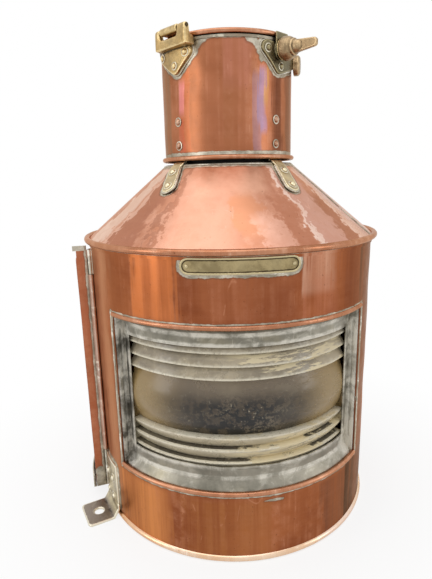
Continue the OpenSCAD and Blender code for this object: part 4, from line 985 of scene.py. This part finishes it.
# ---- lens: a belt with three prisms above and below it ----
def lens_face():
    half = BELT_H / 2
    up = [(LENS_R + BELT_CROWN - (PRISM_D + BELT_CROWN) * (i / 12) ** 2, half * i / 12) for i in range(13)]
    for i in range(3):
        foot, tip = half + i * PRISM_H, half + (i + 1) * PRISM_H
        up += [(LENS_R - 0.5, foot + 0.15), (LENS_R, foot + 0.7)]
        for k in range(1, 7):
            t = k / 6
            up.append((LENS_R - PRISM_D * t ** 1.25, foot + 0.7 + (tip - foot - 1.0) * t))
    top = [(r, LENS_MID + z) for r, z in up if LENS_MID + z < LENS_HIGH]
    low = [(r, LENS_MID - z) for r, z in up[1:] if LENS_MID - z > LENS_LOW]
    return low[::-1] + top


face = lens_face()
ring = [(LENS_IN_R, LENS_LOW), (face[0][0], LENS_LOW)] + face
ring += [(face[-1][0], LENS_HIGH), (LENS_IN_R, LENS_HIGH)]
ring += [(LENS_IN_R, z) for z in steps(LENS_HIGH, LENS_LOW, 12)[1:-1]]
lens = swept_solid("drum_lens", ring, steps(-OPENING_ANGLE + 2, OPENING_ANGLE - 2, 1.5), 0.12)
mark_wear(lens, 2.0)
fit_to(lens, "lamp", LENS, "lens_glass", "lens")

# ---- roof ----
seam = 63.0


def roof_lap(b):
    off = (b - seam) % 360
    return 1.1 * (1 - min(off / 9, 1)) if off < 9 else 0.0


roof_bearings = spaced([0, seam - 0.05, seam + 0.05, 360], 1.2)[:-1]
roof_section = along_line([ROOF_FOOT, (NECK_R, NECK_Z)], 2.6)
roof_dents = [((-28, 100, 297), 34, 0.9), ((16, 92, 305), 30, 0.7), ((-5, 120, 280), 30, 0.6),
              ((50, 110, 290), 34, 0.8),
              ((100, 100, 297), 40, 0.9), ((180, 100, 297), 40, 0.8), ((250, 105, 292), 40, 0.9)]
cone = sheet("roof_cone", roof_section, roof_bearings, True, 0.3, 48, roof_dents, lap=roof_lap)
neck_line = level_ring(NECK_R + 1, NECK_Z - 1)
mark_solder(cone, [(neck_line, 7.5)] + [(line, 5.5) for line in strap_lines] +
            [([on_slope(b, s, 0) for s in steps(2, 100, 3)], w) for b, w in ((seam, 2.6), (-160, 3.0))])
cone.data.materials.append(ROOF_PAINTED_LIGHT)
eave = bead("eave_roll", level_ring(EAVE_R, EAVE_Z), EAVE_BEAD, ROLLED, closed=True, uneven=0.09,
            grain=45.0, sides=14)
seat_rows = [[spot(b, r, 264.6) for b in steps(0, 360, 3)] for r in (133.9, 138)]
seat = patch("eave_seat", seat_rows, 1.0)
coat(seat, TIN)
fit_to(joined("roof_cone", [cone, eave, seat]), "lamp", None, "copper", "roof")

# ---- chimney ----
chimney_rows = rounded([(61.0, 336.8), (60.2, 337.2), (CHIMNEY_R, 340), (CHIMNEY_R, CHIMNEY_TOP)], 1.5)
chimney_dents = [((-38, 60, 402), 17, 0.9), ((-8, 60, 362), 22, 0.5), ((30, 60, 380), 20, 0.6),
                 ((62, 60, 360), 18, 0.8),
                 ((-70, 60, 380), 22, 0.7), ((140, 60, 390), 24, 0.8)]
stack = sheet("chimney_wall", along_line(chimney_rows, 2.4), steps(0, 357.6, 2.4), True, 0.25, 38,
              chimney_dents)
chimney_rivet_spots = [spot(b, CHIMNEY_R, z) for b in STRAP_BEARINGS for z in CHIMNEY_RIVETS_Z]
arch_at = [(-31, 421), (-30, 425), (-28, 428), (-24, 430), (13, 430), (18, 428), (21, 425), (23, 421),
           (24.5, 416)]
top_arches = [spot(b, CHIMNEY_R, z) for b, z in arch_at]
mark_solder(stack, [(hinge_line, 6.5), (catch_line, 6.0), (level_ring(CHIMNEY_R, CHIMNEY_TOP), 5.0),
                    (top_arches, 7.5),
                    (level_ring(CHIMNEY_R, 340.5), 3.6), (chimney_rivet_spots, 6.5)])
stack.data.materials.append(CHIMNEY)
foot_roll = bead("chimney_roll", level_ring(60.95, 337.3, 2.4), CHIMNEY_BEAD, ROLLED, closed=True,
                 uneven=0.14, grain=60.0)
fit_to(joined("chimney_wall", [stack, foot_roll]), "lamp", None, "copper", "chimney_shell")

# ---- lid ----
lid_top = LID_SHEET_Z + SHEET
crown = [(LID_BEAD_AT[0], lid_top), (LID_FLAT_R, lid_top)]
crown += [(LID_FLAT_R * (1 - q / 10), lid_top + LID_CROWN * (1 - (1 - q / 10) ** 2)) for q in range(1, 10)]
crown = rounded(crown, 2)
crown.append((0.4, crown[-1][1] + 0.02))
cover = sheet("lid_dish", along_line(crown, 2.5), steps(0, 356, 4), True, 0.0)
bm = bmesh.new()
bm.from_mesh(cover.data)
bmesh.ops.holes_fill(bm, edges=[e for e in bm.edges if e.is_boundary], sides=0)
bm.to_mesh(cover.data)
bm.free()
mark_solder(cover, [(level_ring(57, lid_top), 3.5)])
fit_to(cover, "lid", LID_COPPER, "copper", "lid_cover")
lid_edge = bead("lid_roll", level_ring(*LID_BEAD_AT, 2.2), LID_BEAD, ROLLED, closed=True, uneven=0.16,
                grain=60.0)
fit_to(lid_edge, "lid", None, "bright_copper", "lid_bead")

# ---- castings and fittings ----
casting("hinge_bracket_cast", "hinge_bracket", "lamp", CASTING, 0.4, 12, 1.6, 425.5, 70)
casting("lid_leaf_cast", "lid_hinge_leaf", "lid", CASTING, 0.35, 12)
casting("hasp_plate", "lid_hasp", "lid", CATCH, 0.3, 4)
casting("catch_plate_cast", "catch_plate", "lamp", CATCH, 0.35, 8)
casting("catch_disc", "catch_washer", "nut_washer", CASTING, 0.25, 2)
casting("thumb_nut_cast", "thumb_nut", "thumb_nut", NUT, 0.35, 14)
casting("round_boss", "round_stud", "lamp", NUT, 0.4, 8)
casting("name_plate_blank", "name_plate", "lamp", PLATE, 0.32, 3, 2.2)
casting("front_foot_plate", "front_foot", "lamp", FOOT, 0.6, 10, 2.0, slot="foot_metal")
casting("rear_foot_plate", "rear_foot", "lamp", FOOT, 0.6, 10, 2.0, slot="foot_metal")
casting("strap_leaves", "chimney_straps", "lamp", STRAP, 0.5, 5)
casting("door_pull", "door_knob", "door", CASTING, 0.4, 6)
casting("button_stem", "button_post", "lamp", CASTING, 0.35, 3)
casting("turn_button_bar", "turn_button", "turn_button", CASTING, 0.35, 4)
casting("filler_cap_turned", "filler_cap", "filler_cap", BURNER_BRASS, 0.4, 3)
casting("burner_body_turned", "burner_body", "burner_unit", BURNER_BRASS, 0.4, 3)

# ---- rivets ----
def rivet_profile(r, h, burr):
    dome = [(r * math.cos(t), burr + h * math.sin(t)) for t in steps(0, math.pi / 2, 0.32)[:-1]]
    washer = [(r * 1.62, 0), (r * 1.62, burr * 0.6), (r * 1.5, burr), (r * 1.04, burr)]
    return ([(r * 0.9, -0.3)] if not burr else [(r * 1.5, -0.3)] + washer) + dome + [(0, burr + h)]


def rivet_head(key, r, h, burr):
    head = turned("head_" + key, rivet_profile(r, h, burr), Vector((0, 0, 0)), (0, 0, 1), 20)
    at = read(head.data.vertices, "co", 3)
    write_mark(head.data, "solder", (np.hypot(at[:, 0], at[:, 1]) > 1.2 * r * MM) * (burr > 0) * 1.0)
    write_mark(head.data, "wear", 0.42 + 0.5 * at[:, 2] / (h + burr) / MM)
    return head


heads = {key: rivet_head(key, *size) for key, size in
         {"foot": (2.6, 1.7, 0.5), "strap": (2.48, 1.8, 0.5), "stack": (2.48, 1.8, 0.5),
          "cast": (2.2, 1.7, 0.5),
          "lid": (2.1, 0.95, 0.0), "pin": (1.45, 0.6, 0.0)}.items()}


def facing_spot(bearing, r, z, s=0.0):
    b = bearing + (bearing_off(s, r) if s else 0)
    return spot(b, r, z), outwards(b)


def facing_row(bearing, r, *at):
    return [facing_spot(bearing, r, z, s) for s, z in at]


foot_at = [facing_spot(b, WALL_R + FOOT_T, z, s) for b in FOOT_BEARINGS for s in (-7.5, 7.5)
           for z in (19, 39)]
strap_at = [(on_strap(i, u, 0, STRAP_T), slope_normal(STRAP_BEARINGS[i])) for i in range(4)
            for u in (7.5, 27.0)]
stack_at = [facing_spot(b, CHIMNEY_R, z) for b in STRAP_BEARINGS for z in CHIMNEY_RIVETS_Z]
hinge_at = facing_row(HINGE_BEARING, CASTING_R, (-17, 421.8), (0.5, 412.7), (13, 421.8))
catch_at = facing_row(CATCH_BEARING, CATCH_R, (-14.6, 423.4), (0.4, 410.9))
leaf_at = [(spot(HINGE_BEARING, 51, 438.45, s + 0.05), Vector((0, 0, 1))) for s in (-6, 6)]
pins_at = facing_row(PLATE_BEARING, WALL_R + 1.6, (-40, PLATE_Z), (40, PLATE_Z))
for name, body, node, slot, finish_of, places, key, seed in (
        ("foot_heads", "lamp", "foot_rivets", "foot_metal", FOOT, foot_at, "foot", 3),
        ("strap_heads", "lamp", "strap_rivets", "brass", STRAP, strap_at, "strap", 5),
        ("stack_heads", "lamp", "chimney_rivets", "copper", HEADS, stack_at, "stack", 7),
        ("hinge_heads", "lamp", "hinge_bracket_rivets", "brass", CASTING, hinge_at, "cast", 9),
        ("catch_heads", "lamp", "catch_plate_rivets", "brass", CATCH, catch_at, "cast", 11),
        ("leaf_heads", "lid", "lid_rivets", "brass", CASTING, leaf_at, "lid", 13),
        ("plate_pins", "lamp", "name_plate_pins", "brass", PLATE, pins_at, "pin", 15)):
    rivets(name, body, node, slot, finish_of, places, heads[key], seed)
for h in heads.values():
    bpy.data.objects.remove(h)

# ---- raised runs of solder ----
neck_run = level_ring(NECK_R + 0.6, NECK_Z - 1.2, 2.5)
closed_runs = [("plate", plate_line, 0.75, 1.3, 130.0), ("hinge", hinge_line, 0.9, 1.3, 120.0),
               ("catch", catch_line, 0.8, 1.3, 120.0), ("neck", neck_run, 0.8, 1.0, 110.0)]
closed_runs += [("foot", line, 0.8, 1.2, 130.0) for line in foot_lines]
open_runs = [("strap", line, 0.95, 1.3, 120.0) for line in strap_lines]
open_runs += [("side", line, 0.8, 1.2, 120.0) for line in side_lines]
runs = [bead("solder_" + name, line, radius, SOLDER, closed, uneven, grain, 8)
        for rows, closed in ((closed_runs, True), (open_runs, False))
        for name, line, radius, uneven, grain in rows]
fit_to(joined("solder_runs", runs), "lamp", None, "tinned_copper")

# ---- door ----
door_section = rounded([(DOOR_IN_R, DOOR_LOW), (DOOR_R, DOOR_LOW), (DOOR_R, DOOR_SHELL_TOP),
                        (DOOR_IN_R, DOOR_SHELL_TOP)], 2.4)


def door_notch(b, r, z):
    """Leaves the top inner corner of the hinge side open, where the top flange begins."""
    return b > DOOR_FRONT - 1.4 and r < DOOR_FLANGE_R + 0.2 and z > 240


leaf = sheet("door_leaf", along_line(door_section, 3),
             spaced([DOOR_BACK, DOOR_FRONT - 1.4, DOOR_FRONT], 1.3), False, 0.3, 60,
             [((-110, DOOR_R, 190), 40, 0.8), ((-150, DOOR_R, 90), 46, 0.9), ((-90, DOOR_R, 70), 30, 0.6)],
             door_notch)
stile = patch("stile", [[spot(DOOR_FRONT, r, z) for r in steps(DOOR_FLANGE_R, 149.8, 1.5)]
                        for z in steps(DOOR_LOW + 0.2, DOOR_TOP - 0.2, 4)], SHEET)
back_edge = patch("back_edge", [[spot(DOOR_BACK + 0.35, r, z) for r in steps(DOOR_IN_R + 0.2, 149.6, 2)]
                                for z in steps(DOOR_LOW + 0.2, DOOR_SHELL_TOP - 0.2, 4)], SHEET)
leaf = joined("door_leaf", [leaf, stile, back_edge])
mark_solder(leaf, [([spot(DOOR_FRONT, 140.8, z) for z in steps(14, 263, 1.6)], 4.6),
                   ([spot(DOOR_FRONT, 145.5, z) for z in steps(14, 32, 1.6)], 9.0),
                   ([spot(b, DOOR_R, 28) for b in steps(DOOR_BACK, DOOR_FRONT, 1.2)], 3.5)])
fit_to(leaf, "door", DOOR, "copper", "door_shell")

# ---- construction nodes that keep their shape ----
KEPT = {WALL: "body_top_rim",
        TIN: "chimney_top_ring lid_rests floor_plate font_guides",
        SOLDER: "door_top_rim door_tray door_hinge_knuckles", BARREL: "door_knuckle",
        CASTING: "lid_hinge_pin",
        BURNER_BRASS: "burner_collar glass_gallery wick_spindle wick_knob lens_clips",
        ROLLED: "wick_tube", FONT_TIN: "oil_font", SOOT: "inner_flue lid_skirt",
        STEEL: "door_hinge_pin catch_stud", LEATHER: "cap_seal", COTTON: "wick",
        CHIMNEY_GLASS: "lamp_glass"}
for kind, names in KEPT.items():
    for name in names.split():
        coat(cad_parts[name], kind)

# ---- camera, light and stage ----
CAMERA_AT, CAMERA_TURNS = (-0.0376, -0.4708, 0.3195), (2.79, 13.334, -1.35)
CAMERA_LENS, CAMERA_SENSOR = 29.07, 36


def set_camera():
    """Sets the camera by its turns: to the right, downwards and round its own view."""
    cam = bpy.data.cameras.new("camera")
    ob = place("camera", cam)
    yaw, pitch, roll = [math.radians(t) for t in CAMERA_TURNS]
    ahead = Vector((math.sin(yaw), math.cos(yaw), 0))
    side = Vector((math.cos(yaw), -math.sin(yaw), 0))
    up = Vector((0, 0, 1))
    look = ahead * math.cos(pitch) - up * math.sin(pitch)
    over = up * math.cos(pitch) + ahead * math.sin(pitch)
    right = side * math.cos(roll) + over * math.sin(roll)
    top = -side * math.sin(roll) + over * math.cos(roll)
    pose = Matrix((right, top, -look)).transposed().to_4x4()
    pose.translation = Vector(CAMERA_AT)
    ob.matrix_world = pose
    cam.lens, cam.sensor_width, cam.clip_start = CAMERA_LENS, CAMERA_SENSOR, 0.01
    bpy.context.scene.camera = ob


def soft_lamp(name, at, size, power, aim=(0, 0, 0.22)):
    lamp = bpy.data.lights.new(name, "AREA")
    lamp.shape, lamp.size, lamp.size_y, lamp.energy = "RECTANGLE", size[0], size[1], power
    ob = place(name, lamp)
    ob.location = at
    ob.rotation_euler = (Vector(aim) - Vector(at)).to_track_quat("-Z", "Y").to_euler()


def seen_ray(tree):
    """1 where the camera, or a reflection or glass, looks straight at the surface."""
    path = outputs(add(tree, "ShaderNodeLightPath"))
    seen = maths("MAXIMUM", path["Is Glossy Ray"], path["Is Transmission Ray"])
    return maths("MAXIMUM", path["Is Camera Ray"], seen)


set_camera()
soft_lamp("overhead", (-0.25, -0.35, 1.5), (1.6, 1.4), 7)
soft_lamp("left_window", (-1.5, -0.7, 0.5), (0.5, 1.3), 4.5)
soft_lamp("right_window", (1.5, -0.8, 0.6), (0.35, 1.2), 2.6)
world = bpy.data.worlds.new("studio")
bpy.context.scene.world = world
world.use_nodes = True
sky = world.node_tree
plain, white = [put(sky, "ShaderNodeBackground", {0: (1, 1, 1, 1), 1: power}) for power in (0.7, 1.0)]
surface(sky, seen_ray(sky), plain, white, output="World Output")

floor_mesh = bpy.data.meshes.new("floor")
floor_mesh.from_pydata([(-3, -3, 0), (3, -3, 0), (3, 3, 0), (-3, 3, 0)], [], [(0, 1, 2, 3)])
floor = place("floor", floor_mesh)
pale, shader, here = finish("pale floor", Roughness=0.9)
tree = shader.id_data
shader.inputs["Base Color"].default_value = (0.9, 0.89, 0.88, 1)
away = put(tree, "ShaderNodeVectorMath", {0: here}, take="Value", operation="LENGTH")
clean = put(tree, "ShaderNodeMapRange", {0: away, 1: 0.15, 2: 0.36, 3: 0.8, 4: 1.0})
clean = clean * ramp(away, 0.13, 0.139)  # dark under the base
glow = put(tree, "ShaderNodeEmission", {0: (1, 1, 1, 1), 1: 1.0})
surface(tree, clean * seen_ray(tree), shader.outputs[0], glow)
floor_mesh.materials.append(pale)
bpy.context.scene.view_settings.view_transform = "Standard"
